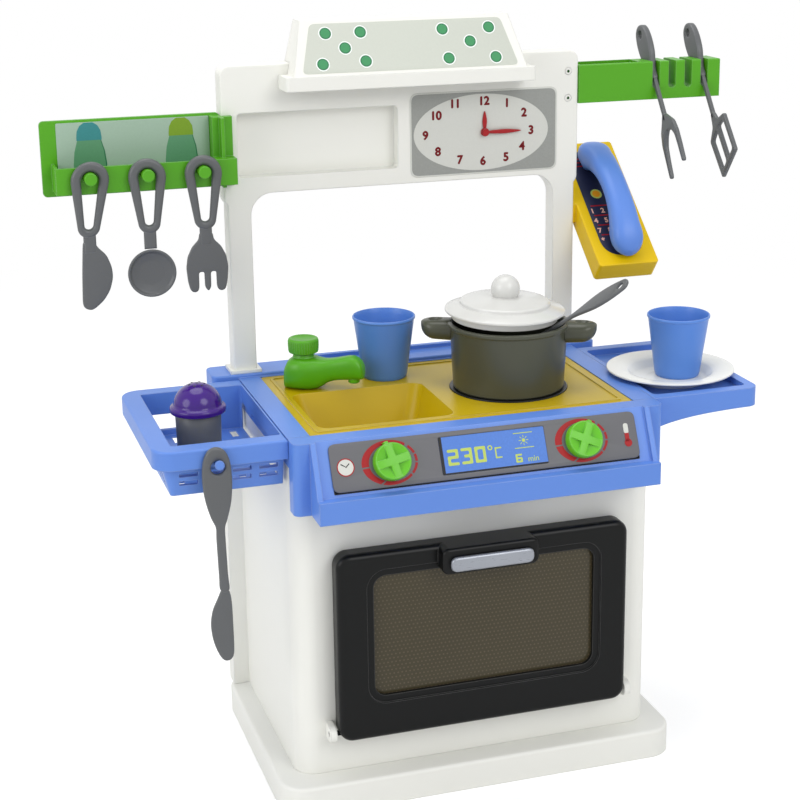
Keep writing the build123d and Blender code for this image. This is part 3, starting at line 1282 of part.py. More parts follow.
def phone_base():
    body = extrude(RectangleRounded(PHONE_WIDTH, PHONE_LENGTH, 4), -PHONE_THICK)
    body = fillet(body.faces().sort_by(Axis.Z)[-1].edges(), 1.5)
    inner = PHONE_LENGTH - 2 * WALL
    hollow = extrude(Pos(0, 0, -WALL) * RectangleRounded(PHONE_WIDTH - 2 * WALL, inner, 2), -PHONE_THICK)
    for v in rib_places(-inner / 2, inner / 2):
        hollow -= Pos(0, v) * Box(PHONE_WIDTH, WALL, 3 * PHONE_THICK)
    body = PHONE * (body - hollow)
    side = PHONE_CENTRE[0] - PHONE_WIDTH / 2
    post = HALF_FRAME - POST_INSET
    z = PHONE_CENTRE[2] - 3
    body += block(post, side + WALL, FRAME_FRONT + 2, FRAME_BACK - 2, z - 20, z + 14) & phone_slice()
    return body


def phone_slice():
    """The space below the phone's sloping face."""
    deep = 4 * PHONE_THICK
    return PHONE * (Pos(0, 0, -deep / 2) * Box(CABINET_WIDTH, PHONE_LENGTH - 20, deep))


def phone_keypad():
    plate = extrude(SlotOverall(KEYPAD_LENGTH, KEYPAD_WIDTH, 90), LABEL)
    return PHONE * plate


def phone_handset():
    low = LABEL + GAP
    half = HANDSET_LENGTH / 2
    inner = half - HANDSET_FOOT
    side = make_face(
        Line((-half, low + HANDSET_END), (-half, low)).edges()
        + Line((-half, low), (-inner, low)).edges()
        + ThreePointArc((-inner, low), (0, low + HANDSET_RISE), (inner, low)).edges()
        + Line((inner, low), (half, low)).edges()
        + Line((half, low), (half, low + HANDSET_END)).edges()
        + ThreePointArc(
            (half, low + HANDSET_END), (0, low + HANDSET_RISE + HANDSET_THICK), (-half, low + HANDSET_END)
        ).edges()
    )
    body = side_view(side, -HANDSET_WIDTH / 2, HANDSET_WIDTH / 2)
    body = fillet(body.edges().filter_by(Axis.X).group_by(Axis.Z)[-1], 4)
    body = fillet(body.edges().filter_by(lambda e: e.length > HANDSET_LENGTH), 6)
    return PHONE * body


def loop(x, lean):
    """The drop-shaped loop handle round a peg, with its hole, its foot lean mm to the left."""
    top_z = PEG_Z + PEG_RADIUS + GAP / 2 - LOOP_INNER
    low_z = top_z - LOOP_LENGTH
    outer = Pos(x, top_z) * Circle(LOOP_INNER + LOOP_BAND) + Pos(x - lean, low_z) * Circle(LOOP_FOOT)
    inner = Pos(x, top_z) * Circle(LOOP_INNER) + Pos(x - lean, low_z + LOOP_INNER) * Circle(LOOP_INNER / 5)
    return make_hull(outer.edges()), make_hull(inner.edges()), low_z


def hanging(outer, hole, head):
    """A loop handle and its head, flat, in front of the left rack."""
    back = TROUGH_FRONT - CUTLERY_GAP
    handle = front_view(outer - hole, back - CUTLERY_THICK, back)
    handle = fillet(handle.faces().filter_by(Axis.Y).edges(), CUTLERY_EDGE)
    return handle + front_view(head, back - CUTLERY_THICK + CUTLERY_EDGE, back - CUTLERY_EDGE)


def cutlery_bottom():
    """The lowest point of the hanging cutlery."""
    return PEG_Z + LOOP_INNER + LOOP_BAND - CUTLERY_LENGTH


def knife():
    x = peg_places()[0]
    outer, inner, low_z = loop(x, KNIFE_LEAN)
    bottom = cutlery_bottom()
    shoulder = low_z - 12
    blade = make_face(
        Line((x - KNIFE_LEAN - 7, low_z), (x - KNIFE_LEAN + 7, low_z)).edges()
        + Line((x - KNIFE_LEAN + 7, low_z), (x + 4, shoulder)).edges()
        + Spline((x + 4, shoulder), (x + 19, bottom + 43), (x + 12, bottom + 20), (x - 7, bottom)).edges()
        + Line((x - 7, bottom), (x - 16, bottom + 5)).edges()
        + Line((x - 16, bottom + 5), (x - 12, shoulder)).edges()
        + Line((x - 12, shoulder), (x - KNIFE_LEAN - 7, low_z)).edges()
    )
    return hanging(outer, inner, blade)


def hanging_spoon():
    x = peg_places()[1]
    outer, inner, low_z = loop(x, 0)
    middle = cutlery_bottom() + HEAD_RAISE + BOWL_HALF_HEIGHT
    bowl = Pos(x, middle) * Ellipse(BOWL_HALF_WIDTH, BOWL_HALF_HEIGHT)
    neck = Pos(x, low_z - LOOP_FOOT) * Rectangle(2 * LOOP_FOOT - 1, 3 * LOOP_FOOT)
    body = hanging(outer, inner, neck + bowl)
    front = TROUGH_FRONT - CUTLERY_GAP - CUTLERY_THICK
    return body - Pos(x, front - BOWL_RADIUS + BOWL_DEPTH, middle) * Sphere(BOWL_RADIUS)


def hanging_fork():
    x = peg_places()[2]
    outer, inner, low_z = loop(x, 0)
    bottom = cutlery_bottom() + HEAD_RAISE
    half = FORK_HALF_WIDTH
    head = make_face(
        Line((x - LOOP_FOOT, low_z), (x + LOOP_FOOT, low_z)).edges()
        + Spline((x + LOOP_FOOT, low_z), (x + half - 5, low_z - 18), (x + half, bottom + 28)).edges()
        + Line((x + half, bottom + 28), (x + half - 4, bottom)).edges()
        + Line((x + half - 4, bottom), (x - half + 4, bottom)).edges()
        + Line((x - half + 4, bottom), (x - half, bottom + 28)).edges()
        + Spline((x - half, bottom + 28), (x - half + 5, low_z - 18), (x - LOOP_FOOT, low_z)).edges()
    )
    for side in (-1, 1):
        gap = SlotOverall(2 * TINE_LENGTH, TINE_GAP, 90)
        head -= Pos(x + side * TINE_GAP_X, bottom) * gap
    return hanging(outer, inner, head)


def paddle_outline(x, top, width, length, neck, end):
    """A paddle handle that runs down into a narrow neck, drawn in X and Z."""
    half = width / 2
    return make_face(
        ThreePointArc((x - half * 0.8, top - 12), (x, top), (x + half * 0.8, top - 12)).edges()
        + Spline(
            (x + half * 0.8, top - 12), (x + half, top - length * 0.5), (x + neck / 2, top - length)
        ).edges()
        + Line((x + neck / 2, top - length), (x + neck / 2, end)).edges()
        + Line((x + neck / 2, end), (x - neck / 2, end)).edges()
        + Line((x - neck / 2, end), (x - neck / 2, top - length)).edges()
        + Spline(
            (x - neck / 2, top - length), (x - half, top - length * 0.5), (x - half * 0.8, top - 12)
        ).edges()
    )


def spatula():
    x = HOOK_X
    hole_z = hook_z() + HOOK_RADIUS + GAP / 2 - SPATULA_HOLE
    top = hole_z + 22
    bottom = top - SPATULA_LENGTH
    face = paddle_outline(x, top, PADDLE_WIDTH, PADDLE_LENGTH, NECK_WIDTH, bottom + BLADE_LENGTH - 5)
    half = BLADE_WIDTH / 2
    blade = make_face(
        Spline(
            (x - NECK_WIDTH / 2, bottom + BLADE_LENGTH), (x - half, bottom + BLADE_LENGTH * 0.45),
            (x - half * 0.75, bottom + 8), (x, bottom),
        ).edges()
        + Spline(
            (x, bottom), (x + half * 0.8, bottom + 14),
            (x + half, bottom + BLADE_LENGTH * 0.5), (x + NECK_WIDTH / 2, bottom + BLADE_LENGTH),
        ).edges()
        + Line((x + NECK_WIDTH / 2, bottom + BLADE_LENGTH), (x - NECK_WIDTH / 2, bottom + BLADE_LENGTH)).edges()
    )
    back = BASKET_FRONT - 2 * GAP
    body = front_view(face + blade, back - SPATULA_THICK, back)
    body -= rod(SPATULA_HOLE, (x, back + 1, hole_z), (0, -1, 0), SPATULA_THICK + 2)
    return body


def tool_place(x):
    """The leaning plane of a racked tool, whose neck rests on its slot's front edge."""
    lean = radians(TOOL_LEAN)
    radius = SLOT_WIDTH / 2
    seat = BAR_RACK_TOP - SLOT_DEPTH + radius - (radius**2 - TOOL_THICK**2 / 4) ** 0.5 + GAP
    z = seat + TOOL_NECK / 2 / sin(lean) - (BAR_RACK_FRONT - TOOL_NECK_Y) * cos(lean) / sin(lean)
    return Plane((x, TOOL_NECK_Y, z), x_dir=(0, -cos(lean), sin(lean)), z_dir=(-1, 0, 0))


def tool_handle():
    """The paddle handle and the neck of a racked tool, in its own plane."""
    top = TOOL_ABOVE
    paddle = paddle_outline(0, top, TOOL_PADDLE_WIDTH, 62, TOOL_NECK, -8)
    body = extrude(paddle, TOOL_THICK / 2, both=True)
    grip = extrude(Pos(0, top - 32) * Ellipse(TOOL_PADDLE_WIDTH / 2, 29), TOOL_PADDLE_THICK / 2, both=True)
    body += grip & extrude(paddle, TOOL_PADDLE_THICK, both=True)
    return body - extrude(Pos(0, top - 12) * Circle(5), 20, both=True)


def roasting_fork():
    head = outline((-3, 2), (3, 2), (22, -26), (20, -68), (15, -68), (14, -30), (0, -18), (-14, -34), (-20, -72),
                   (-26, -72), (-22, -26))
    head = fillet(head.vertices(), 1.8)
    body = tool_handle() + extrude(head, TOOL_THICK / 2, both=True)
    return tool_place(slot_places()[0]) * body


def slotted_turner():
    head = outline((22, -12), (26, -66), (-22, -76), (-26, -22), (-3, 0), (3, 0))
    head = fillet(head.vertices(), 2)
    for side in (-1, 1):
        slot = outline((side * 7, -22 + side * 5), (side * 20, -25 + side * 5), (side * 20, -60 + side * 5),
                       (side * 7, -65 + side * 5))
        head -= fillet(slot.vertices(), 2)
    body = tool_handle() + extrude(head, TOOL_THICK / 2, both=True)
    return tool_place(slot_places()[3]) * body


def pot():
    half = POT_HEIGHT
    profile = outline(
        (0, 0), (POT_BASE_RADIUS, 0), (POT_RADIUS, half - 8), (POT_RADIUS + 2.5, half - 4), (POT_RADIUS + 2.5, half),
        (POT_RADIUS - POT_WALL, half), (POT_BASE_RADIUS - POT_WALL, POT_WALL), (0, POT_WALL)
    )
    body = revolve(Plane.XZ * profile, Axis.Z)
    ears = []
    for side in (-1, 1):
        reach = POT_RADIUS + EAR_REACH
        x = side * (reach - EAR_WIDTH / 2)
        root = side * (POT_RADIUS - 8)
        lug = Pos(x, 0) * Circle(EAR_WIDTH / 2) + Pos((x + root) / 2, 0) * Rectangle(abs(x - root), EAR_WIDTH)
        ear = extrude(Pos(0, 0, half - EAR_DROP) * lug, EAR_DROP + EAR_RAISE)
        ear = fillet(ear.edges().group_by(Axis.Z)[0], 3)
        ear -= Pos(x + side * 2, 0, half + EAR_RAISE + 8) * Sphere(12)
        ears.append(ear)
    inside = rod(POT_RADIUS - POT_WALL, (0, 0, 10), (0, 0, 1), half)
    for ear in ears:
        body += ear - inside
    return Pos(HOB_X, HOB_Y, POT_BOTTOM) * Rot(0, 0, POT_TURN) * body


def pot_lid():
    """The lid, shifted back and propped up in front by the spoon under its flange."""
    profile = outline(
        (0, 0), (LID_FLANGE_RADIUS - THIN_WALL, 0), (LID_FLANGE_RADIUS - THIN_WALL, -LID_FLANGE),
        (LID_FLANGE_RADIUS, -LID_FLANGE), (LID_FLANGE_RADIUS, 0), (LID_RADIUS, 0), (LID_RADIUS, LID_EDGE - 2),
        (LID_STEP_RADIUS, LID_EDGE + 5), (LID_STEP_RADIUS - 3, LID_EDGE + 8), (18, LID_DOME), (0, LID_DOME),
    )
    body = revolve(Plane.XZ * profile, Axis.Z)
    under = outline((0, -1), (LID_FLANGE_RADIUS - THIN_WALL, -1), (LID_STEP_RADIUS - 8, 6), (0, LID_DOME - 3))
    body -= revolve(Plane.XZ * under, Axis.Z)
    ball = Pos(0, 0, LID_DOME + LID_KNOB_RADIUS * 0.55) * Sphere(LID_KNOB_RADIUS)
    body += ball & Pos(0, 0, LID_DOME + 29) * Box(60, 60, 60)
    turn = radians(SPOON_AZIMUTH)
    front_bottom = spoon_top(LID_FLANGE_RADIUS - LID_SHIFT) + GAP
    z = front_bottom + LID_FLANGE + LID_FLANGE_RADIUS * sin(radians(LID_TILT))
    place = Pos(HOB_X - LID_SHIFT * cos(turn), HOB_Y - LID_SHIFT * sin(turn), z)
    return place * Rot(0, 0, SPOON_AZIMUTH) * Rot(0, LID_TILT, 0) * body


def spoon_top(radius):
    """The height of the spoon's upper face over one radius of the pot."""
    tilt = radians(SPOON_TILT)
    inner_rim = POT_RADIUS - POT_WALL
    return POT_RIM + GAP + SPOON_NECK_THICK / cos(tilt) + (radius - inner_rim) * sin(tilt) / cos(tilt)


def pot_spoon():
    turn = radians(SPOON_AZIMUTH)
    tilt = radians(SPOON_TILT)
    inner_rim = POT_RADIUS - POT_WALL
    height = spoon_top(inner_rim) - SPOON_NECK_THICK / 2 / cos(tilt)
    crossing = (HOB_X + inner_rim * cos(turn), HOB_Y + inner_rim * sin(turn), height)
    up = (-cos(turn) * sin(tilt), -sin(turn) * sin(tilt), cos(tilt))
    plane = Plane(crossing, x_dir=(sin(turn), -cos(turn), 0), z_dir=up)
    inside = SPOON_LENGTH - SPOON_OUT
    face = paddle_outline(0, SPOON_OUT, 24, 78, 6.0, -inside + 40)
    body = extrude(face, SPOON_NECK_THICK / 2, both=True)
    bowl = extrude(Pos(0, -inside + 24) * Ellipse(18, 24), SPOON_NECK_THICK / 2, both=True)
    body += bowl
    body -= extrude(Pos(0, SPOON_OUT - 11) * Circle(5), 20, both=True)
    return plane * body


def cup(x, y, z):
    profile = outline(
        (0, 0), (CUP_BASE_RADIUS, 0), (CUP_RIM_RADIUS - 1, CUP_HEIGHT - 3), (CUP_RIM_RADIUS, CUP_HEIGHT - 3),
        (CUP_RIM_RADIUS, CUP_HEIGHT), (CUP_RIM_RADIUS - THIN_WALL, CUP_HEIGHT),
        (CUP_BASE_RADIUS - THIN_WALL, THIN_WALL), (0, THIN_WALL),
    )
    return Pos(x, y, z) * revolve(Plane.XZ * profile, Axis.Z)


def left_cup():
    return cup(LEFT_CUP[0], LEFT_CUP[1], TRAY_TOP)


def plate():
    t = PLATE_THICK
    profile = outline(
        (0, 0), (PLATE_FOOT_RADIUS, 0), (PLATE_FOOT_RADIUS + 8, 9), (PLATE_RADIUS, PLATE_HEIGHT - t),
        (PLATE_RADIUS, PLATE_HEIGHT), (PLATE_FOOT_RADIUS + 6, 9 + t), (PLATE_FOOT_RADIUS - 1, t), (0, t),
    )
    return Pos(PLATE_CENTRE[0], PLATE_CENTRE[1], SHELF_FLOOR) * revolve(Plane.XZ * profile, Axis.Z)


def right_cup():
    return cup(PLATE_CENTRE[0] + RIGHT_CUP_OFFSET[0], PLATE_CENTRE[1] + RIGHT_CUP_OFFSET[1], PLATE_WELL)


def shaker_body():
    wall = THIN_WALL
    low = SHAKER_RADIUS - 1.5
    profile = outline(
        (0, 0), (low, 0), (SHAKER_RADIUS, SHAKER_HEIGHT), (SHAKER_RADIUS - wall, SHAKER_HEIGHT), (low - wall, wall),
        (0, wall),
    )
    return Pos(SHAKER_X, SHAKER_Y, SHAKER_BOTTOM) * revolve(Plane.XZ * profile, Axis.Z)


def shaker_cap():
    wall = THIN_WALL
    inner = SHAKER_RADIUS + GAP
    body = rod(CAP_RADIUS, (0, 0, -CAP_COLLAR + wall), (0, 0, 1), CAP_COLLAR)
    body = fillet(body.edges(), 2)
    body -= rod(inner, (0, 0, -CAP_COLLAR), (0, 0, 1), CAP_COLLAR + GAP)
    dome = Sphere(DOME_RADIUS) & Pos(0, 0, 50 + wall - 0.5) * Box(99, 99, 100)
    body += dome
    body -= Sphere(DOME_RADIUS - wall) & Pos(0, 0, 50) * Box(99, 99, 100)
    body -= rod(DOME_RADIUS - 2 * wall, (0, 0, -1), (0, 0, 1), wall + 2)
    for i in range(6):
        turn = radians(60 * i)
        body -= rod(1.2, (7 * cos(turn), 7 * sin(turn), 0), (0, 0, 1), 40)
    return Pos(SHAKER_X, SHAKER_Y, CAP_Z + GAP) * body


def screws(places, direction):
    """A group of the same screws."""
    return Compound([screw(place, direction) for place in places])


NODES = {
    "plinth": plinth,
    "cabinet_shell": cabinet_shell,
    "oven_box": oven_box,
    "door_hinge_pins": door_hinge_pins,
    "door_frame": door_frame,
    "door_window": door_window,
    "door_handle": door_handle,
    "back_panel": back_panel,
    "worktop": worktop,
    "sink_tray": sink_tray,
    "hob_plate": hob_plate,
    "tap_body": tap_body,
    "tap_knob": tap_knob,
    "console": console,
    "control_panel": control_panel,
    "display_plate": display_plate,
    "left_knob": left_knob,
    "right_knob": right_knob,
    "side_basket": side_basket,
    "side_shelf": side_shelf,
    "back_frame": back_frame,
    "hood": hood,
    "hood_label": hood_label,
    "clock_dial": clock_dial,
    "clock_pin": clock_pin,
    "clock_hour_hand": clock_hour_hand,
    "clock_minute_hand": clock_minute_hand,
    "left_rack": left_rack,
    "left_rack_label": left_rack_label,
    "right_rack": right_rack,
    "phone_base": phone_base,
    "phone_keypad": phone_keypad,
    "phone_handset": phone_handset,
    "knife": knife,
    "hanging_spoon": hanging_spoon,
    "hanging_fork": hanging_fork,
    "spatula": spatula,
    "roasting_fork": roasting_fork,
    "slotted_turner": slotted_turner,
    "pot": pot,
    "pot_lid": pot_lid,
    "pot_spoon": pot_spoon,
    "left_cup": left_cup,
    "plate": plate,
    "right_cup": right_cup,
    "shaker_body": shaker_body,
    "shaker_cap": shaker_cap,
    "plinth_screws": lambda: screws(plinth_screw_places(), (0, 0, 1)),
    "panel_screws": lambda: screws(panel_screw_places(), (0, -1, 0)),
    "rack_screws": lambda: screws(rack_screw_places(), (0, 1, 0)),
}

os.makedirs("parts", exist_ok=True)
for name, make in NODES.items():
    shape = make()
    export_step(shape, os.path.join("parts", name + ".step"))
    print(name, round(shape.volume), "mm3")
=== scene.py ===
"""The looks of the play kitchen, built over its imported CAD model.

Lengths are in millimetres in the kitchen's own frame, with +X right, +Y back and +Z up,
and they become metres where a mesh is made.
"""

import functools
import json
import logging
import math
from dataclasses import dataclass
from enum import Enum
from typing import Any, Iterable, Sequence

import bmesh
import bpy
from mathutils import Matrix, Vector

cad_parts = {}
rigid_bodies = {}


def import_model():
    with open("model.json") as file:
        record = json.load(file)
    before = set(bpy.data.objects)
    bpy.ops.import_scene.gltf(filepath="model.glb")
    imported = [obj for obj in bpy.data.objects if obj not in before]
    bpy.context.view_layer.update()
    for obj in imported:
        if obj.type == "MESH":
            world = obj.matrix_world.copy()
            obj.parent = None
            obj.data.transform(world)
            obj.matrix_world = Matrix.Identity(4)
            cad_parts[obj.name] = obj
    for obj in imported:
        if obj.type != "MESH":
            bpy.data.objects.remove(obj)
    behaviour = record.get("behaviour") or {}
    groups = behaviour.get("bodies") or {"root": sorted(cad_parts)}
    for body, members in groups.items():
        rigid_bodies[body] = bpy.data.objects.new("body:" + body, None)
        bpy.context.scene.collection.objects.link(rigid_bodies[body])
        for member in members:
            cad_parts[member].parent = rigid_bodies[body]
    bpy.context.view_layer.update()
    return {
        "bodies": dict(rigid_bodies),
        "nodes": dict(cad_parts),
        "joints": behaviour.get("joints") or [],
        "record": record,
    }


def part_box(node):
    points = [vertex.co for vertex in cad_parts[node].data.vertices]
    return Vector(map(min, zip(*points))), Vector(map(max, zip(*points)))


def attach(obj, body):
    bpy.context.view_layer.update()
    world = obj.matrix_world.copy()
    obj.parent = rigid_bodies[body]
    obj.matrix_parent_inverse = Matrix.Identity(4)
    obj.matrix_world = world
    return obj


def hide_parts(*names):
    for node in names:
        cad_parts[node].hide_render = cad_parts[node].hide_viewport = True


MM = 0.001
# How far a print stands off the piece that carries it
GAP = 0.02
LOG = logging.getLogger("play_kitchen")

Pair = tuple[float, float]
Triple = tuple[float, float, float]
Outline = list[Pair]
Piece = bpy.types.Object


class Body(Enum):
    """The moving bodies that pieces ride on."""

    KITCHEN = "kitchen"
    OVEN_DOOR = "oven_door"
    TAP = "tap"
    TAP_HANDLE = "tap_handle"
    LEFT_CONTROL = "left_control"
    RIGHT_CONTROL = "right_control"
    HOUR_HAND = "hour_hand"
    MINUTE_HAND = "minute_hand"
    HANDSET = "handset"
    KNIFE = "play_knife"
    SPOON = "play_spoon"
    FORK = "play_fork"
    SPATULA = "play_spatula"
    LONG_FORK = "long_fork"
    TURNER = "turner"
    POT = "cooking_pot"
    LID = "lid"
    STIRRER = "stirring_spoon"
    LEFT_CUP = "cup_by_tap"
    PLATE = "dinner_plate"
    RIGHT_CUP = "cup_on_plate"
    SHAKER = "shaker"
    SHAKER_TOP = "shaker_top"


# Places and shapes


@dataclass(frozen=True)
class Face:
    """A flat place on the kitchen, with directions across it, up it and out of it."""

    origin: Triple
    across: Triple = (1.0, 0.0, 0.0)
    up: Triple = (0.0, 0.0, 1.0)

    @property
    def out(self) -> Vector:
        """The direction out of the face."""
        return Vector(self.across).cross(Vector(self.up))

    def point(self, u: float, v: float, w: float = 0.0) -> Vector:
        """A point u across, v up and w out, in millimetres."""
        return Vector(self.origin) + Vector(self.across) * u + Vector(self.up) * v + self.out * w

    def matrix(self, w: float = 0.0) -> Matrix:
        """The matrix, in metres, that lays a flat drawing on the face at height w."""
        columns = Matrix((self.across, self.up, self.out)).transposed().to_4x4()
        return Matrix.Translation(self.point(0, 0, w) * MM) @ columns

    def turned(self, degrees: float, u: float = 0.0, v: float = 0.0) -> "Face":
        """The face, moved and turned about its own outward axis.

        Args:
            degrees: how far it turns.
            u: how far it moves across.
            v: how far it moves up.

        Returns:
            The new face.
        """
        angle = math.radians(degrees)
        across = Vector(self.across) * math.cos(angle) + Vector(self.up) * math.sin(angle)
        up = Vector(self.up) * math.cos(angle) - Vector(self.across) * math.sin(angle)
        return Face(tuple(self.point(u, v)), tuple(across), tuple(up))


def upright(y: float, x: float = 0.0, z: float = 0.0) -> Face:
    """A face that looks to the front."""
    return Face((x, y, z))


def level(z: float, x: float = 0.0, y: float = 0.0) -> Face:
    """A face that looks up."""
    return Face((x, y, z), (1.0, 0.0, 0.0), (0.0, 1.0, 0.0))


def leaning(origin: Triple, degrees: float) -> Face:
    """A face that looks up and to the front, this many degrees off level."""
    angle = math.radians(degrees)
    return Face(origin, (1.0, 0.0, 0.0), (0.0, math.cos(angle), math.sin(angle)))


def angles(steps: int, start: float = 0.0, sweep: float = 360.0) -> list[float]:
    """Evenly spaced angles in radians; a full turn leaves out its last one."""
    count = steps if abs(sweep) >= 360 else steps - 1
    return [math.radians(start + sweep * i / count) for i in range(steps)]


def oval(u: float, v: float, wide: float, high: float, steps: int = 48) -> Outline:
    """An oval about (u, v) with these half sizes."""
    return [(u + wide * math.cos(a), v + high * math.sin(a)) for a in angles(steps)]


def circle(u: float, v: float, radius: float, steps: int = 32) -> Outline:
    """A circle about (u, v)."""
    return oval(u, v, radius, radius, steps)


def shifted(points: Sequence[Pair], u: float, v: float = 0.0) -> Outline:
    """An outline moved across and up."""
    return [(u + x, v + y) for x, y in points]


def eased(points: Sequence[Pair], radius: float, closed: bool = True, steps: int = 4) -> Outline:
    """Round the corners of a line.

    Args:
        points: the corners of the line.
        radius: how far the rounding reaches along each side, at most half the side.
        closed: whether the line returns to its start.
        steps: how many pieces a rounded corner has.

    Returns:
        The points of the rounded line.
    """
    result: Outline = []
    count = len(points)
    for i, corner in enumerate(points):
        if not closed and i in (0, count - 1):
            result.append(corner)
            continue
        here = Vector(corner)
        before = Vector(points[i - 1]) - here
        after = Vector(points[(i + 1) % count]) - here
        start = here + before.normalized() * min(radius, before.length * 0.49)
        end = here + after.normalized() * min(radius, after.length * 0.49)
        for k in range(steps + 1):
            t = k / steps
            spot = start * (1 - t) ** 2 + here * 2 * t * (1 - t) + end * t * t
            result.append((spot.x, spot.y))
    return result


def box(u0: float, u1: float, v0: float, v1: float, corner: float = 0.0, steps: int = 6) -> Outline:
    """A rectangle, with rounded corners where a corner size is given."""
    points = [(u0, v0), (u1, v0), (u1, v1), (u0, v1)]
    return eased(points, corner, steps=steps) if corner else points


def flowing(points: Sequence[Pair], steps: int = 8) -> Outline:
    """Draw a smooth closed line through points.

    Args:
        points: the points that it passes.
        steps: how many pieces lie between two of them.

    Returns:
        The points of the smooth line.
    """
    result: Outline = []
    count = len(points)
    for i in range(count):
        a, b, c, d = (Vector(points[(i + k) % count]) for k in (-1, 0, 1, 2))
        bend = 2 * a - 5 * b + 4 * c - d
        twist = 3 * b - a - 3 * c + d
        for k in range(steps):
            t = k / steps
            spot = 0.5 * (2 * b + (c - a) * t + bend * t**2 + twist * t**3)
            result.append((spot.x, spot.y))
    return result


def mirrored(points: Sequence[Pair]) -> Outline:
    """A closed outline from its right half, listed from the top down to the bottom."""
    left = [(-u, v) for u, v in reversed(points) if abs(u) > 1e-6]
    return list(points) + left


def drop(v_top: float, r_top: float, v_low: float, r_low: float, steps: int) -> Outline:
    """Draw the outline round two circles, one above the other.

    Args:
        v_top: the height of the upper circle.
        r_top: its radius.
        v_low: the height of the lower circle.
        r_low: its radius.
        steps: how many points the outline has.

    Returns:
        The outline.
    """
    result: Outline = []
    for angle in angles(steps, 90.0):
        c, s = math.cos(angle), math.sin(angle)
        if v_top * s + r_top >= v_low * s + r_low:
            result.append((r_top * c, v_top + r_top * s))
        else:
            result.append((r_low * c, v_low + r_low * s))
    return result


# Mesh making


def placed(name: str, mesh: bpy.types.Mesh, crease: float = 35.0) -> Piece:
    """Clean a mesh and put it in the scene, smooth but for its sharp edges.

    Args:
        name: the piece's name.
        mesh: its mesh, in metres.
        crease: the angle in degrees past which an edge stays sharp.

    Returns:
        The piece.
    """
    work = bmesh.new()
    work.from_mesh(mesh)
    bmesh.ops.remove_doubles(work, verts=work.verts, dist=1e-6)
    bmesh.ops.recalc_face_normals(work, faces=work.faces)
    work.to_mesh(mesh)
    work.free()
    mesh.polygons.foreach_set("use_smooth", [True] * len(mesh.polygons))
    mesh.set_sharp_from_angle(angle=math.radians(crease))
    piece = bpy.data.objects.new(name, mesh)
    bpy.context.scene.collection.objects.link(piece)
    return piece


def solid(name: str, points: Sequence[Vector], faces: Sequence[Sequence[int]], crease: float) -> Piece:
    """Make a piece from points and faces.

    Args:
        name: the piece's name.
        points: its points, in millimetres.
        faces: the numbers of each face's corners.
        crease: the angle in degrees past which an edge stays sharp.

    Returns:
        The piece.
    """
    mesh = bpy.data.meshes.new(name)
    mesh.from_pydata([tuple(point * MM) for point in points], [], faces)
    return placed(name, mesh, crease)


def joined_rings(rings: Sequence[Sequence[int]]) -> list[tuple[int, ...]]:
    """Span the faces between neighbouring rings.

    Args:
        rings: the numbers of each ring's points.

    Returns:
        The numbers of each face's corners.
    """
    faces = []
    for lower, upper in zip(rings, rings[1:]):
        for i in range(len(lower)):
            j = (i + 1) % len(lower)
            corners = tuple(dict.fromkeys((lower[i], lower[j], upper[j], upper[i])))
            if len(corners) > 2:
                faces.append(corners)
    return faces


def turned(name: str, face: Face, profile: Sequence[Pair], steps: int = 96, crease: float = 35.0) -> Piece:
    """Turn a profile of (radius, height) pairs about a face's outward axis.

    Args:
        name: the piece's name.
        face: the face whose outward axis is the turning axis.
        profile: the profile, from one end to the other.
        steps: how many sides the turned piece has.
        crease: the angle in degrees past which an edge stays sharp.

    Returns:
        The turned piece.
    """
    points: list[Vector] = []
    rings: list[list[int]] = []
    for radius, height in profile:
        start = len(points)
        if radius < 1e-6:
            points.append(face.point(0, 0, height))
            rings.append([start] * steps)
        else:
            ring = [face.point(radius * math.cos(a), radius * math.sin(a), height) for a in angles(steps)]
            points += ring
            rings.append(list(range(start, start + steps)))
    return solid(name, points, joined_rings(rings), crease)


def skinned(name: str, rings: Sequence[Sequence[Vector]], crease: float) -> Piece:
    """Stretch a skin over rings of points, with flat ends.

    Args:
        name: the piece's name.
        rings: the points of each ring, in millimetres.
        crease: the angle in degrees past which an edge stays sharp.

    Returns:
        The piece.
    """
    points = [point for ring in rings for point in ring]
    size = len(rings[0])
    numbers = [list(range(i * size, (i + 1) * size)) for i in range(len(rings))]
    faces = joined_rings(numbers)
    faces += [tuple(numbers[0]), tuple(numbers[-1])]
    return solid(name, points, faces, crease)


def soft(value: float, power: float) -> float:
    """A cosine or sine bent towards a squarer section."""
    return math.copysign(abs(value) ** (2.0 / power), value)


def pebble(
    name: str,
    face: Face,
    stations: Sequence[tuple[float, float, float, float]],
    power: float,
    steps: int,
) -> Piece:
    """A rounded body that lies along a face's up direction.

    Args:
        name: the piece's name.
        face: the face that it lies on.
        stations: for each section its place up the face, half width, low side and high side.
        power: 2 for oval sections, more for squarer ones.
        steps: how many sides a section has.

    Returns:
        The rounded piece.
    """
    sides = [(soft(math.cos(a), power), soft(math.sin(a), power)) for a in angles(steps)]
    rings = []
    for v, half, low, high in stations:
        middle, rise = (low + high) / 2, (high - low) / 2
        rings.append([face.point(half * x, v, middle + rise * y) for x, y in sides])
    return skinned(name, rings, 50.0)


def from_curve(name: str, curve: bpy.types.Curve, matrix: Matrix) -> Piece:
    """Turn a filled curve into a mesh piece.

    Args:
        name: the piece's name.
        curve: the curve, which is used up.
        matrix: the matrix, in metres, that lays it in place.

    Returns:
        The piece.
    """
    holder = bpy.data.objects.new(name, curve)
    bpy.context.scene.collection.objects.link(holder)
    graph = bpy.context.evaluated_depsgraph_get()
    mesh = bpy.data.meshes.new_from_object(holder.evaluated_get(graph))
    bpy.data.objects.remove(holder)
    bpy.data.curves.remove(curve)
    mesh.transform(matrix)
    return placed(name, mesh)


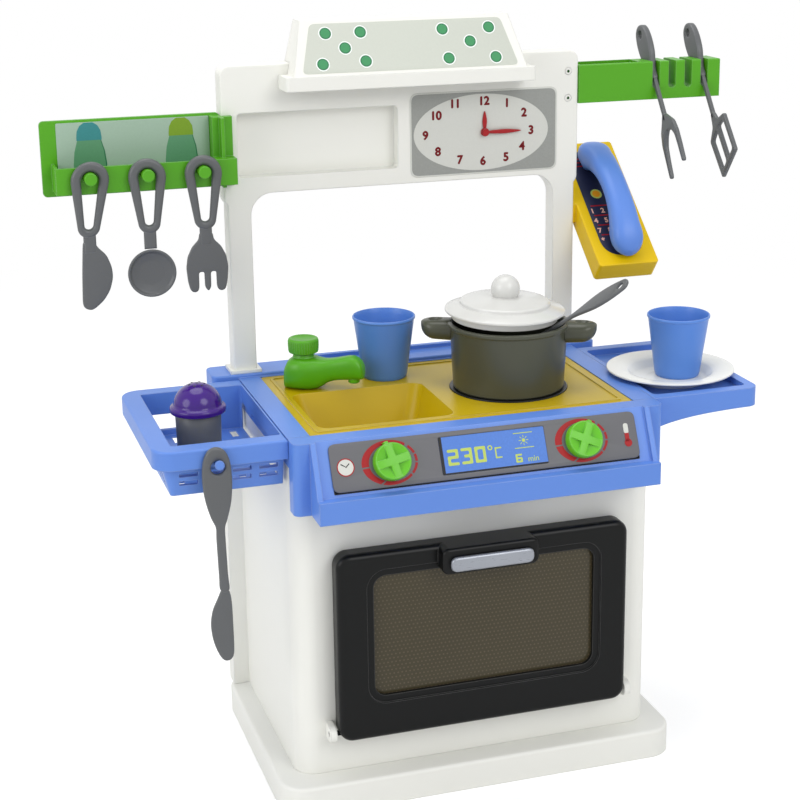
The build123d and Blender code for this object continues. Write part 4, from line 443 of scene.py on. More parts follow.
def moulded_plate(
    name: str,
    face: Face,
    outlines: Sequence[Outline],
    low: float,
    high: float,
    edge: float = 0.0,
    rounding: int = 2,
) -> Piece:
    """A plate between two heights over a face, with rounded edges and holes.

    Args:
        name: the piece's name.
        face: the face that it is drawn on.
        outlines: its closed outlines; one inside another is a hole.
        low: the height of its back.
        high: the height of its front.
        edge: the radius of its rounded edges.
        rounding: how finely they are rounded.

    Returns:
        The plate.
    """
    curve = bpy.data.curves.new(name, "CURVE")
    curve.dimensions = "2D"
    curve.fill_mode = "BOTH"
    curve.extrude = max((high - low) / 2 - edge, 0.0) * MM
    curve.bevel_depth = edge * MM
    curve.bevel_resolution = rounding
    curve.offset = -edge * MM
    for outline in outlines:
        spline = curve.splines.new("POLY")
        spline.points.add(len(outline) - 1)
        for place, (u, v) in zip(spline.points, outline):
            place.co = (u * MM, v * MM, 0.0, 1.0)
        spline.use_cyclic_u = True
    return from_curve(name, curve, face.matrix((low + high) / 2))


def lettering(
    name: str, face: Face, text: str, place: Triple, tall: float, bold: float = 0.0, thick: float = 0.16
) -> Piece:
    """Flat printed characters on a face.

    Args:
        name: the piece's name.
        face: the face that carries them.
        text: the characters.
        place: their middle across and up the face, and their height over it.
        tall: the height of a figure.
        bold: how much each stroke is thickened.
        thick: how far they stand out.

    Returns:
        The characters as one mesh.
    """
    curve = bpy.data.curves.new(name, "FONT")
    curve.body = text
    curve.size = tall / 0.7 * MM
    curve.align_x = "CENTER"
    curve.align_y = "CENTER"
    curve.offset = bold * MM
    curve.extrude = thick / 2 * MM
    spot = face.turned(0.0, place[0], place[1])
    return from_curve(name, curve, spot.matrix(place[2] + thick / 2))


def merged(name: str, pieces: Iterable[Piece]) -> Piece:
    """Join pieces of one finish into one mesh.

    Args:
        name: the whole piece's name.
        pieces: its parts, which are used up.

    Returns:
        The whole piece.
    """
    work = bmesh.new()
    for piece in pieces:
        work.from_mesh(piece.data)
        mesh = piece.data
        bpy.data.objects.remove(piece)
        bpy.data.meshes.remove(mesh)
    mesh = bpy.data.meshes.new(name)
    work.to_mesh(mesh)
    work.free()
    whole = bpy.data.objects.new(name, mesh)
    bpy.context.scene.collection.objects.link(whole)
    return whole


def carved(piece: Piece, cutter: Piece) -> Piece:
    """Cut one piece's shape out of another.

    Args:
        piece: the piece that is cut.
        cutter: the shape that is cut away, which is used up.

    Returns:
        The cut piece.
    """
    name = piece.name
    cut = piece.modifiers.new("carve", "BOOLEAN")
    cut.operation = "DIFFERENCE"
    cut.solver = "EXACT"
    cut.object = cutter
    graph = bpy.context.evaluated_depsgraph_get()
    mesh = bpy.data.meshes.new_from_object(piece.evaluated_get(graph))
    bpy.data.objects.remove(piece)
    bpy.data.objects.remove(cutter)
    return placed(name, mesh)


# Colours and shader groups


class Paint(Enum):
    """The colours of the mouldings and prints, as sRGB bytes."""

    WHITE = (233, 233, 227)
    LID_WHITE = (210, 210, 207)
    SKY = (92, 134, 214)
    CUP_BLUE = (86, 134, 213)
    SUN = (226, 188, 8)
    LEMON = (190, 163, 8)
    LEAF = (80, 162, 16)
    GRASS = (96, 184, 32)
    BLACK = (15, 16, 16)
    SMOKE = (62, 56, 38)
    SILVER = (156, 160, 168)
    STONE = (92, 94, 96)
    POT = (72, 74, 61)
    PLUM = (58, 14, 122)
    SLATE = (98, 98, 102)
    SCREEN = (70, 118, 200)
    LIME_PRINT = (180, 198, 96)
    RED_PRINT = (160, 10, 18)
    DARK_RED = (112, 10, 20)
    DIAL_GREY = (150, 152, 148)
    DIAL_WHITE = (206, 207, 201)
    LABEL_WHITE = (198, 202, 192)
    LABEL_GREY = (158, 182, 164)
    MINT = (66, 144, 94)
    PALE_MINT = (238, 243, 240)
    OLIVE = (120, 154, 40)
    TEAL = (58, 134, 136)
    NAVY = (34, 38, 66)
    AMBER = (226, 150, 24)
    BLUSH = (232, 178, 160)
    JAR_GREEN = (90, 146, 108)
    DARK_MINT = (44, 112, 76)
    # Dark green painted shade for the rack screws' sockets.
    DARK_LEAF = (24, 70, 18)
    STEEL = (150, 152, 156)
    # Near-black for the printed clock hands, and for painted shade: the display's edges, hollows, holes and
    # the line under the panel.
    INK = (20, 20, 22)

    @property
    def linear(self) -> tuple[float, float, float, float]:
        """The colour as Blender's linear values."""
        red, green, blue = (srgb_to_linear(byte / 255) for byte in self.value)
        return (red, green, blue, 1.0)


def srgb_to_linear(part: float) -> float:
    """One sRGB value, from 0 to 1, as a linear value."""
    return part / 12.92 if part <= 0.04045 else ((part + 0.055) / 1.055) ** 2.4


class Graph:
    """A node tree with short ways to add nodes and join them."""

    def __init__(self, tree: bpy.types.NodeTree) -> None:
        """Take over an empty node tree."""
        self.tree = tree

    def feed(self, node: bpy.types.Node, inputs: dict[Any, Any]) -> bpy.types.Node:
        """Set or join a node's inputs.

        Args:
            node: the node.
            inputs: for each input a value, or the output that feeds it.

        Returns:
            The same node.
        """
        for key, value in inputs.items():
            if isinstance(value, bpy.types.NodeSocket):
                self.tree.links.new(value, node.inputs[key])
            else:
                node.inputs[key].default_value = value
        return node

    def add(self, kind: str, inputs: dict[Any, Any] | None = None, **settings: Any) -> bpy.types.Node:
        """Add a node.

        Args:
            kind: Blender's name for the node.
            inputs: for each input a value, or the output that feeds it.
            settings: the node's own settings.

        Returns:
            The node.
        """
        node = self.tree.nodes.new(kind)
        for key, value in settings.items():
            setattr(node, key, value)
        return self.feed(node, inputs or {})

    def group(self, tree: bpy.types.NodeTree, inputs: dict[str, Any]) -> bpy.types.Node:
        """Place a shader group with its own values."""
        return self.feed(self.add("ShaderNodeGroup", node_tree=tree), inputs)

    def math(self, operation: str, *values: Any) -> bpy.types.NodeSocket:
        """The result of one sum on numbers or outputs."""
        return self.add("ShaderNodeMath", dict(enumerate(values)), operation=operation).outputs[0]

    def place(self) -> bpy.types.NodeSocket:
        """The place on the piece, in its own frame."""
        return self.add("ShaderNodeTexCoord").outputs["Object"]

    def noise(self, place: Any, scale: Any, detail: float, roughness: float = 0.5) -> bpy.types.NodeSocket:
        """Smooth noise over the piece."""
        inputs = {"Vector": place, "Scale": scale, "Detail": detail, "Roughness": roughness}
        return self.add("ShaderNodeTexNoise", inputs).outputs[0]

    def mixed(self, share: Any, under: Any, over: Any) -> bpy.types.NodeSocket:
        """One colour laid over another by a share."""
        inputs = {"Factor": share, 6: under, 7: over}
        return self.add("ShaderNodeMix", inputs, data_type="RGBA", blend_type="MIX").outputs[2]

    def bump(self, strength: float, distance: float, inputs: dict[str, Any]) -> bpy.types.NodeSocket:
        """The normal of a surface with fine relief; inputs give its height and its normal."""
        inputs = {**inputs, "Strength": strength, "Distance": distance}
        return self.add("ShaderNodeBump", inputs).outputs[0]


class Socket(Enum):
    """The kinds of socket on a shader group."""

    NUMBER = "NodeSocketFloat"
    COLOUR = "NodeSocketColor"
    VECTOR = "NodeSocketVector"


def new_group(name: str, takes: dict[str, Socket], gives: dict[str, Socket]) -> tuple[Graph, Any, Any]:
    """Start a shader group.

    Args:
        name: the group's name.
        takes: its inputs and their kinds.
        gives: its outputs and their kinds.

    Returns:
        The graph to fill, the outputs of its input node, and its output node.
    """
    tree = bpy.data.node_groups.new(name, "ShaderNodeTree")
    for key, kind in takes.items():
        tree.interface.new_socket(key, in_out="INPUT", socket_type=kind.value)
    for key, kind in gives.items():
        tree.interface.new_socket(key, in_out="OUTPUT", socket_type=kind.value)
    start = tree.nodes.new("NodeGroupInput")
    return Graph(tree), start.outputs, tree.nodes.new("NodeGroupOutput")


@functools.cache
def colour_drift() -> bpy.types.NodeTree:
    """Build the slow drift in shade that a moulding shows over its surface.

    Returns:
        The shader group.
    """
    takes = {"Colour": Socket.COLOUR, "Drift": Socket.NUMBER, "Scale": Socket.NUMBER}
    graph, given, end = new_group("colour_drift", takes, {"Colour": Socket.COLOUR})
    place = graph.place()
    cloud = graph.math("MULTIPLY", graph.noise(place, given["Scale"], 3.0), 0.75)
    speck = graph.math("MULTIPLY", graph.noise(place, 900.0, 1.0), 0.25)
    both = graph.math("ADD", cloud, speck)
    swing = graph.math("MULTIPLY", graph.math("SUBTRACT", both, 0.5), given["Drift"])
    shade = graph.math("ADD", graph.math("MULTIPLY", swing, 2.0), 1.0)
    scaled = graph.add("ShaderNodeVectorMath", {0: given["Colour"], "Scale": shade}, operation="SCALE")
    graph.feed(end, {"Colour": scaled.outputs[0]})
    return graph.tree


@functools.cache
def edge_wear() -> bpy.types.NodeTree:
    """Build softened edges: a rounded normal, and a mask of the edges for a painted highlight.

    Returns:
        The shader group.
    """
    takes = {"Radius": Socket.NUMBER, "Break": Socket.NUMBER}
    gives = {"Normal": Socket.VECTOR, "Mask": Socket.NUMBER}
    graph, given, end = new_group("edge_wear", takes, gives)
    bevel = graph.add("ShaderNodeBevel", {"Radius": given["Radius"]}, samples=6).outputs[0]
    flat = graph.add("ShaderNodeNewGeometry").outputs["Normal"]
    match = graph.add("ShaderNodeVectorMath", {0: bevel, 1: flat}, operation="DOT_PRODUCT")
    turn = graph.math("SUBTRACT", 1.0, match.outputs["Value"])
    cloud = graph.noise(graph.place(), 70.0, 3.0)
    broken = graph.math("MULTIPLY", graph.math("SUBTRACT", cloud, 0.5), given["Break"])
    shares = {0: graph.math("MULTIPLY", turn, 5.0), 1: graph.math("ADD", broken, 1.0)}
    mask = graph.add("ShaderNodeMath", shares, operation="MULTIPLY", use_clamp=True)
    graph.feed(end, {"Normal": bevel, "Mask": mask.outputs[0]})
    return graph.tree


@functools.cache
def mould_skin() -> bpy.types.NodeTree:
    """Build the fine orange peel of moulded plastic, and the smudges that dull it.

    Returns:
        The shader group.
    """
    takes = {"Roughness": Socket.NUMBER, "Smudge": Socket.NUMBER, "Grain": Socket.NUMBER}
    gives = {"Height": Socket.NUMBER, "Roughness": Socket.NUMBER}
    graph, given, end = new_group("mould_skin", takes, gives)
    place = graph.place()
    peel = graph.noise(place, given["Grain"], 2.0)
    wave = graph.noise(place, 26.0, 1.0)
    height = graph.math("ADD", peel, graph.math("MULTIPLY", wave, 2.0))
    smear = graph.math("SUBTRACT", graph.noise(place, 14.0, 5.0, 0.65), 0.5)
    swing = graph.math("MULTIPLY", smear, given["Smudge"])
    graph.feed(end, {"Height": height, "Roughness": graph.math("ADD", given["Roughness"], swing)})
    return graph.tree


@functools.cache
def dot_screen() -> bpy.types.NodeTree:
    """Build rows of round dots, staggered, seen from the front.

    Returns:
        The shader group.
    """
    takes = {"Pitch": Socket.NUMBER, "Size": Socket.NUMBER}
    graph, given, end = new_group("dot_screen", takes, {"Mask": Socket.NUMBER})
    split = graph.add("ShaderNodeSeparateXYZ", {0: graph.place()})
    across = graph.math("DIVIDE", split.outputs["X"], given["Pitch"])
    rows = graph.math("DIVIDE", split.outputs["Z"], given["Pitch"])
    shift = graph.math("MULTIPLY", graph.math("FLOORED_MODULO", graph.math("FLOOR", rows), 2.0), 0.5)
    u = graph.math("SUBTRACT", graph.math("FRACT", graph.math("ADD", across, shift)), 0.5)
    v = graph.math("SUBTRACT", graph.math("FRACT", rows), 0.5)
    squares = graph.math("ADD", graph.math("MULTIPLY", u, u), graph.math("MULTIPLY", v, v))
    graph.feed(end, {"Mask": graph.math("LESS_THAN", graph.math("SQRT", squares), given["Size"])})
    return graph.tree


def new_material(name: str) -> tuple[bpy.types.Material, Graph, bpy.types.Node]:
    """Start a material.

    Args:
        name: the material's name.

    Returns:
        The material, its graph and its Principled shader.
    """
    material = bpy.data.materials.new(name)
    material.use_nodes = True
    material.node_tree.nodes.clear()
    graph = Graph(material.node_tree)
    shader = graph.add("ShaderNodeBsdfPrincipled")
    graph.add("ShaderNodeOutputMaterial", {"Surface": shader.outputs[0]})
    return material, graph, shader


# Finishes


@dataclass(frozen=True)
class MouldedPlastic:
    """Injection-moulded plastic: a little drift, orange peel, and rounded edges lightened by a painted
    highlight.
    """

    name: str
    paint: Paint
    slot: str
    roughness: float = 0.36
    smudge: float = 0.12
    drift: float = 0.05
    edge: float = 1.4
    wear: float = 0.16
    peel: float = 0.05
    grain: float = 1300.0
    coat: float = 0.0
    gloss: float = 0.4

    @functools.cache
    def material(self) -> bpy.types.Material:
        """Build the plastic.

        Returns:
            The Blender material.
        """
        material, graph, shader = new_material(self.name)
        drift = {"Colour": self.paint.linear, "Drift": self.drift, "Scale": 8.0}
        base = graph.group(colour_drift(), drift).outputs[0]
        edges = graph.group(edge_wear(), {"Radius": self.edge * MM, "Break": 1.2}).outputs
        peel = {"Roughness": self.roughness, "Smudge": self.smudge, "Grain": self.grain}
        skin = graph.group(mould_skin(), peel).outputs
        # Painted highlight: the edge mask lightens the colour towards pale grey where edges catch the light.
        highlight_share = graph.math("MULTIPLY", edges["Mask"], self.wear)
        colour = graph.mixed(highlight_share, base, (0.9, 0.9, 0.9, 1.0))
        relief = graph.bump(self.peel, 0.0006, {"Height": skin["Height"], "Normal": edges["Normal"]})
        graph.feed(shader, {"Base Color": colour, "Roughness": skin["Roughness"], "Normal": relief})
        graph.feed(shader, {"Specular IOR Level": self.gloss, "Coat Weight": self.coat})
        graph.feed(shader, {"Coat Roughness": 0.12})
        return material


@dataclass(frozen=True)
class PrintedCard:
    """Ink on a glossy label: a fine screen of specks, and a smooth film over it."""

    name: str
    paint: Paint
    slot: str
    roughness: float = 0.42
    speck: float = 0.1
    gloss: float = 0.25

    @functools.cache
    def material(self) -> bpy.types.Material:
        """Build the print.

        Returns:
            The Blender material.
        """
        material, graph, shader = new_material(self.name)
        specks = {"Colour": self.paint.linear, "Drift": self.speck, "Scale": 420.0}
        ink = graph.group(colour_drift(), specks).outputs[0]
        film = {"Roughness": self.roughness, "Smudge": 0.1, "Grain": 2400.0}
        skin = graph.group(mould_skin(), film).outputs
        relief = graph.bump(0.03, 0.0004, {"Height": skin["Height"]})
        graph.feed(shader, {"Base Color": ink, "Roughness": skin["Roughness"], "Normal": relief})
        graph.feed(shader, {"Specular IOR Level": self.gloss})
        return material


@dataclass(frozen=True)
class SmokedWindow:
    """The oven's brown window with its printed screen of dots."""

    name: str = "smoked_window"
    paint: Paint = Paint.SMOKE
    slot: str = "smoked_window"
    pitch: float = 4.6
    dot: float = 0.2
    dot_strength: float = 0.4
    dot_colour: tuple[float, float, float, float] = (0.16, 0.12, 0.075, 1.0)

    @functools.cache
    def material(self) -> bpy.types.Material:
        """Build the window.

        Returns:
            The Blender material.
        """
        material, graph, shader = new_material(self.name)
        drift = {"Colour": self.paint.linear, "Drift": 0.16, "Scale": 6.0}
        base = graph.group(colour_drift(), drift).outputs[0]
        dots = graph.group(dot_screen(), {"Pitch": self.pitch * MM, "Size": self.dot}).outputs[0]
        skin = graph.group(mould_skin(), {"Roughness": 0.3, "Smudge": 0.1, "Grain": 1500.0}).outputs
        colour = graph.mixed(graph.math("MULTIPLY", dots, self.dot_strength), base, self.dot_colour)
        relief = graph.bump(0.03, 0.0005, {"Height": skin["Height"]})
        graph.feed(shader, {"Base Color": colour, "Roughness": skin["Roughness"], "Normal": relief})
        graph.feed(shader, {"Specular IOR Level": 0.3, "Coat Weight": 0.12})
        return material


@dataclass(frozen=True)
class BrushedMetal:
    """Steel for the screws and silver lacquer for the oven's grip."""

    name: str
    paint: Paint
    slot: str
    metallic: float = 1.0
    roughness: float = 0.34
    stretch: Triple = (90.0, 1400.0, 1400.0)

    @functools.cache
    def material(self) -> bpy.types.Material:
        """Build the metal.

        Returns:
            The Blender material.
        """
        material, graph, shader = new_material(self.name)
        drift = {"Colour": self.paint.linear, "Drift": 0.08, "Scale": 30.0}
        base = graph.group(colour_drift(), drift).outputs[0]
        edges = graph.group(edge_wear(), {"Radius": 0.8 * MM, "Break": 1.0}).outputs
        drawn = graph.add("ShaderNodeVectorMath", {0: graph.place(), 1: self.stretch}, operation="MULTIPLY")
        lines = graph.noise(drawn.outputs[0], 1.0, 3.0)
        rough = graph.math("ADD", graph.math("MULTIPLY", lines, 0.16), self.roughness - 0.08)
        relief = graph.bump(0.08, 0.0003, {"Height": lines, "Normal": edges["Normal"]})
        graph.feed(shader, {"Base Color": base, "Roughness": rough, "Normal": relief})
        graph.feed(shader, {"Metallic": self.metallic})
        return material


Finish = MouldedPlastic | PrintedCard | SmokedWindow | BrushedMetal

WHITE = MouldedPlastic(
    "white_plastic", Paint.WHITE, "white_plastic", roughness=0.4, drift=0.025, edge=2.2, wear=0.3
)
LID_WHITE = MouldedPlastic(
    "lid_plastic", Paint.LID_WHITE, "white_plastic", roughness=0.22, drift=0.02, coat=0.2
)
PLATE_WHITE = MouldedPlastic(
    "plate_plastic", Paint.WHITE, "white_plastic", roughness=0.24, drift=0.02, coat=0.15
)
SKY = MouldedPlastic("blue_plastic", Paint.SKY, "blue_plastic", edge=1.8)
CUP_BLUE = MouldedPlastic("cup_plastic", Paint.CUP_BLUE, "blue_plastic", roughness=0.34, edge=0.8)
SUN = MouldedPlastic(
    "yellow_plastic", Paint.SUN, "yellow_plastic", roughness=0.32, edge=1.2, wear=0.1, gloss=0.25
)
LEMON = MouldedPlastic(
    "tray_plastic", Paint.LEMON, "yellow_plastic", roughness=0.32, edge=1.2, wear=0.1, gloss=0.25
)
LEAF = MouldedPlastic("green_plastic", Paint.LEAF, "green_plastic", edge=1.2)
GRASS = MouldedPlastic("knob_plastic", Paint.GRASS, "green_plastic", roughness=0.34, edge=0.8)
# Painted shade: dark green standing for the shade inside the rack screws' sockets.
DARK_LEAF = MouldedPlastic("painted_socket_shade", Paint.DARK_LEAF, "green_plastic", roughness=0.6, gloss=0.1)
BLACK = MouldedPlastic(
    "black_plastic", Paint.BLACK, "black_plastic", roughness=0.3, drift=0.1, wear=0.08, gloss=0.2
)
# Painted shade: a flat matt black standing for the shade in the hinge lugs' holes, the shaker's holes and
# under the control panel.
INK = MouldedPlastic("painted_shade_black", Paint.INK, "black_plastic", roughness=0.6, gloss=0.1)
STONE = MouldedPlastic("grey_plastic", Paint.STONE, "grey_plastic", edge=0.8)
POT_GREY = MouldedPlastic("pot_plastic", Paint.POT, "pot_plastic", roughness=0.3, drift=0.08, edge=0.8)
PLUM = MouldedPlastic(
    "purple_plastic", Paint.PLUM, "purple_plastic", roughness=0.16, coat=0.25, wear=0.04, gloss=0.3
)
SLATE = MouldedPlastic("panel_plastic", Paint.SLATE, "panel_plastic", roughness=0.46, edge=0.8)
RED = MouldedPlastic("red_plastic", Paint.RED_PRINT, "red_plastic", roughness=0.34, edge=0.4)
SCREEN = PrintedCard("display_print", Paint.SCREEN, "display_print", roughness=0.3, speck=0.14)
LIME_PRINT = PrintedCard("display_figures", Paint.LIME_PRINT, "display_print")
RED_PRINT = PrintedCard("red_print", Paint.RED_PRINT, "red_plastic")
BLACK_PRINT_AND_SHADE = PrintedCard("black_print_and_shade", Paint.INK, "black_plastic")
# Black print for the clock sign's hands, also used for the painted shadow along the display's edges.
DARK_RED = PrintedCard("dial_figures", Paint.DARK_RED, "clock_print")
DIAL_GREY = PrintedCard("dial_grey", Paint.DIAL_GREY, "clock_print")
DIAL_WHITE = PrintedCard("dial_white", Paint.DIAL_WHITE, "clock_print", speck=0.04)
LABEL_WHITE = PrintedCard("hood_print", Paint.LABEL_WHITE, "hood_print", speck=0.04)
MINT = PrintedCard("mint_print", Paint.MINT, "hood_print")
PALE_MINT = PrintedCard("pale_mint_print", Paint.PALE_MINT, "hood_print", speck=0.05)
DARK_MINT = PrintedCard("dark_mint_print", Paint.DARK_MINT, "rack_print")
LABEL_GREY = PrintedCard("rack_print", Paint.LABEL_GREY, "rack_print", speck=0.06)
TEAL = PrintedCard("teal_print", Paint.TEAL, "rack_print")
LIME_DRAWING = PrintedCard("lime_print", Paint.OLIVE, "rack_print")
BODY_DRAWING = PrintedCard("jar_print", Paint.JAR_GREEN, "rack_print")
NAVY = PrintedCard("keypad_print", Paint.NAVY, "keypad_print", roughness=0.34)
AMBER = PrintedCard("amber_print", Paint.AMBER, "keypad_print")
BLUSH = PrintedCard("pale_figures", Paint.BLUSH, "keypad_print")
SILVER = BrushedMetal("silver_plastic", Paint.SILVER, "silver_plastic", metallic=0.55, roughness=0.3)
STEEL = BrushedMetal("steel", Paint.STEEL, "steel")
WINDOW = SmokedWindow()


def dressed(piece: Piece, finish: Finish, body: Body, replaces: Sequence[str] = ()) -> Piece:
    """Give a piece its finish and the body that it rides on.

    Args:
        piece: the piece, in place.
        finish: what it is made of.
        body: the body that it moves with.
        replaces: the CAD nodes that it stands for.

    Returns:
        The same piece.
    """
    piece.data.materials.clear()
    piece.data.materials.append(finish.material())
    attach(piece, body.value)
    if replaces:
        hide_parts(*replaces)
    LOG.info("%s: %s on %s", piece.name, finish.name, body.value)
    return piece


def printed(
    name: str, face: Face, outlines: Sequence[Outline], low: float, high: float, finish: Finish
) -> Piece:
    """Print flat shapes on the kitchen.

    Args:
        name: the print's name.
        face: the face that it is drawn on.
        outlines: its closed outlines; one inside another is a hole.
        low: the height of its back.
        high: the height of its front.
        finish: its ink.

    Returns:
        The print.
    """
    return dressed(moulded_plate(name, face, outlines, low, high), finish, Body.KITCHEN)


@dataclass
class Mouldings:
    """The CAD nodes that keep their own shape and only get a finish."""

    nodes: dict[str, Piece]
    head: float = 4.0
    socket: float = 1.7
    shelf_thin: float = 408.0
    shelf_share: float = 0.6

    def dress(self, finish: Finish, *names: str) -> None:
        """Give some nodes a finish.

        Args:
            finish: what they are made of.
            names: the nodes.
        """
        for name in names:
            node = self.nodes[name]
            if not node.material_slots:
                node.data.materials.append(None)
            for slot in node.material_slots:
                slot.material = finish.material()
            LOG.info("%s: %s on its CAD node", name, finish.name)

    def build(self) -> None:
        """Dress every node that no other class replaces."""
        self.dress(WHITE, "plinth", "cabinet_shell", "oven_box", "back_panel", "back_frame", "hood")
        # The hinge pins get the painted-shade black, so that the lugs' holes read dark.
        self.dress(INK, "door_hinge_pins")
        self.dress(SKY, "worktop", "console", "side_basket")
        self.shelf()
        self.dress(LEMON, "sink_tray")
        self.dress(SUN, "phone_base")
        self.dress(LEAF, "left_rack", "right_rack")
        self.dress(BLACK, "door_frame", "hob_plate")
        self.dress(STEEL, "plinth_screws", "panel_screws")
        self.dress(WHITE, "rack_screws")
        self.dress(RED, "clock_pin")
        self.sockets()

    def shelf(self) -> None:
        """The side shelf, with its underside drawn in towards its thin outer end."""
        mesh = self.nodes["side_shelf"].data.copy()
        mesh.transform(self.nodes["side_shelf"].matrix_world)
        level_off = self.shelf_thin * MM
        for corner in mesh.vertices:
            if corner.co.z < level_off:
                corner.co.z = level_off - (level_off - corner.co.z) * self.shelf_share
        piece = bpy.data.objects.new("side_shelf_piece", mesh)
        bpy.context.scene.collection.objects.link(piece)
        dressed(piece, SKY, Body.KITCHEN, ["side_shelf"])

    def sockets(self) -> None:
        """Painted shade: a dark green disc on the head of each rack screw, for the shade in its socket."""
        low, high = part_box("rack_screws")
        x = (low[0] + high[0]) / 2 / MM
        heights = (low[2] / MM + self.head, high[2] / MM - self.head)
        places = [circle(x, height, self.socket, 20) for height in heights]
        printed("rack_screw_socket_shade", upright(low[1] / MM), places, GAP, 0.12, DARK_LEAF)


# Sub-assemblies


@dataclass
class OvenDoor:
    """The black door's window and grip."""

    width: float = 266.0
    low: float = 127.0
    high: float = 277.0
    corner: float = 14.0
    front: float = -146.0
    thick: float = 2.0
    grip_wide: float = 96.0
    grip_high: float = 17.0
    grip_thick: float = 6.0
    grip_z: float = 284.0
    grip_back: float = -170.0

    def window(self) -> None:
        """The brown pane behind the frame."""
        outline = box(-self.width / 2, self.width / 2, self.low, self.high, self.corner)
        pane = moulded_plate("oven_window", upright(self.front), [outline], -self.thick, 0, 0.3)
        dressed(pane, WINDOW, Body.OVEN_DOOR, ["door_window"])

    def grip(self) -> None:
        """The silver bar with rounded ends."""
        half, tall = self.grip_wide / 2, self.grip_high / 2
        outline = box(-half, half, -tall, tall, tall * 0.95)
        bar = moulded_plate(
            "oven_grip", upright(self.grip_back, z=self.grip_z), [outline], 0, self.grip_thick, 2.9, 4
        )
        dressed(bar, SILVER, Body.OVEN_DOOR, ["door_handle"])

    def build(self) -> None:
        """Make the window and the grip."""
        self.window()
        self.grip()


@dataclass
class Tap:
    """The green tap with its flat-sided spout and ribbed knob."""

    x: float = -147.0
    y: float = 60.0
    base: float = 429.3
    turn: float = -32.0
    knob_radius: float = 17.8
    knob_low: float = 471.3
    knob_high: float = 488.3
    ribs: int = 36
    groove: float = 0.55

    def face(self) -> Face:
        """Level with the tray, with its up direction along the spout."""
        return level(self.base, self.x, self.y).turned(self.turn - 90.0)

    def spout(self) -> None:
        """The broad foot that draws out into the spout, bent down at its tip."""
        stations = [
            (-22.8, 3.0, 0.0, 12.0), (-22.4, 8.0, 0.0, 18.0), (-20.5, 13.0, 0.0, 26.0),
            (-16.5, 17.5, 0.0, 33.5), (-10.0, 21.0, 0.0, 37.5), (0.0, 22.6, 0.0, 38.6),
            (9.0, 21.0, 0.0, 37.6), (17.0, 17.0, 1.0, 36.2), (24.0, 13.6, 4.0, 35.4),
            (30.0, 11.8, 8.5, 35.6), (38.0, 11.0, 11.0, 36.8), (46.0, 10.8, 12.0, 38.6),
            (54.0, 10.6, 12.6, 40.4), (60.0, 10.4, 13.2, 40.8), (65.0, 10.0, 13.6, 38.8),
            (69.0, 9.4, 13.8, 34.8), (71.0, 8.4, 14.2, 31.0), (71.8, 6.0, 16.0, 27.0),
        ]
        face = self.face()
        lip = [(0, 9.0), (5.5, 9.0), (6.5, 10.0), (6.5, 16.0)]
        parts = [
            pebble("tap", face, stations, power=3.0, steps=48),
            turned("tap_mouth", face.turned(0, 0, 60.0), lip),
            turned("tap_neck", face, [(0, 36.0), (13.0, 36.0), (11.5, 41.0), (0, 41.0)]),
        ]
        dressed(merged("tap_body_piece", parts), LEAF, Body.TAP, ["tap_body"])

    def knob(self) -> None:
        """The ribbed knob with a shallow dish in its top."""
        face = level(0.0, self.x, self.y)
        rise = self.knob_high - self.knob_low
        # Share of the radius, share of the height, and how deep the grooves are there
        profile = [
            (0.0, 0.0, 0.0), (0.86, 0.0, 0.0), (0.95, 0.05, 0.6), (0.98, 0.16, 1.0), (1.0, 0.5, 1.0),
            (1.0, 0.8, 1.0), (0.985, 0.88, 0.6), (0.95, 0.96, 0.0), (0.89, 1.0, 0.0), (0.78, 1.0, 0.0),
            (0.7, 0.95, 0.0), (0.0, 0.93, 0.0),
        ]
        rings = []
        for share, height, ribbed in profile:
            radius = max(share * self.knob_radius, 0.01)
            z = self.knob_low + rise * height
            ring = []
            for angle in angles(self.ribs * 6):
                groove = ribbed * self.groove * (0.5 + 0.5 * math.cos(self.ribs * angle)) ** 3
                reach = radius - groove
                ring.append(face.point(reach * math.cos(angle), reach * math.sin(angle), z))
            rings.append(ring)
        dressed(skinned("tap_knob_piece", rings, 45.0), LEAF, Body.TAP_HANDLE, ["tap_knob"])

    def build(self) -> None:
        """Make the tap and its knob."""
        self.spout()
        self.knob()


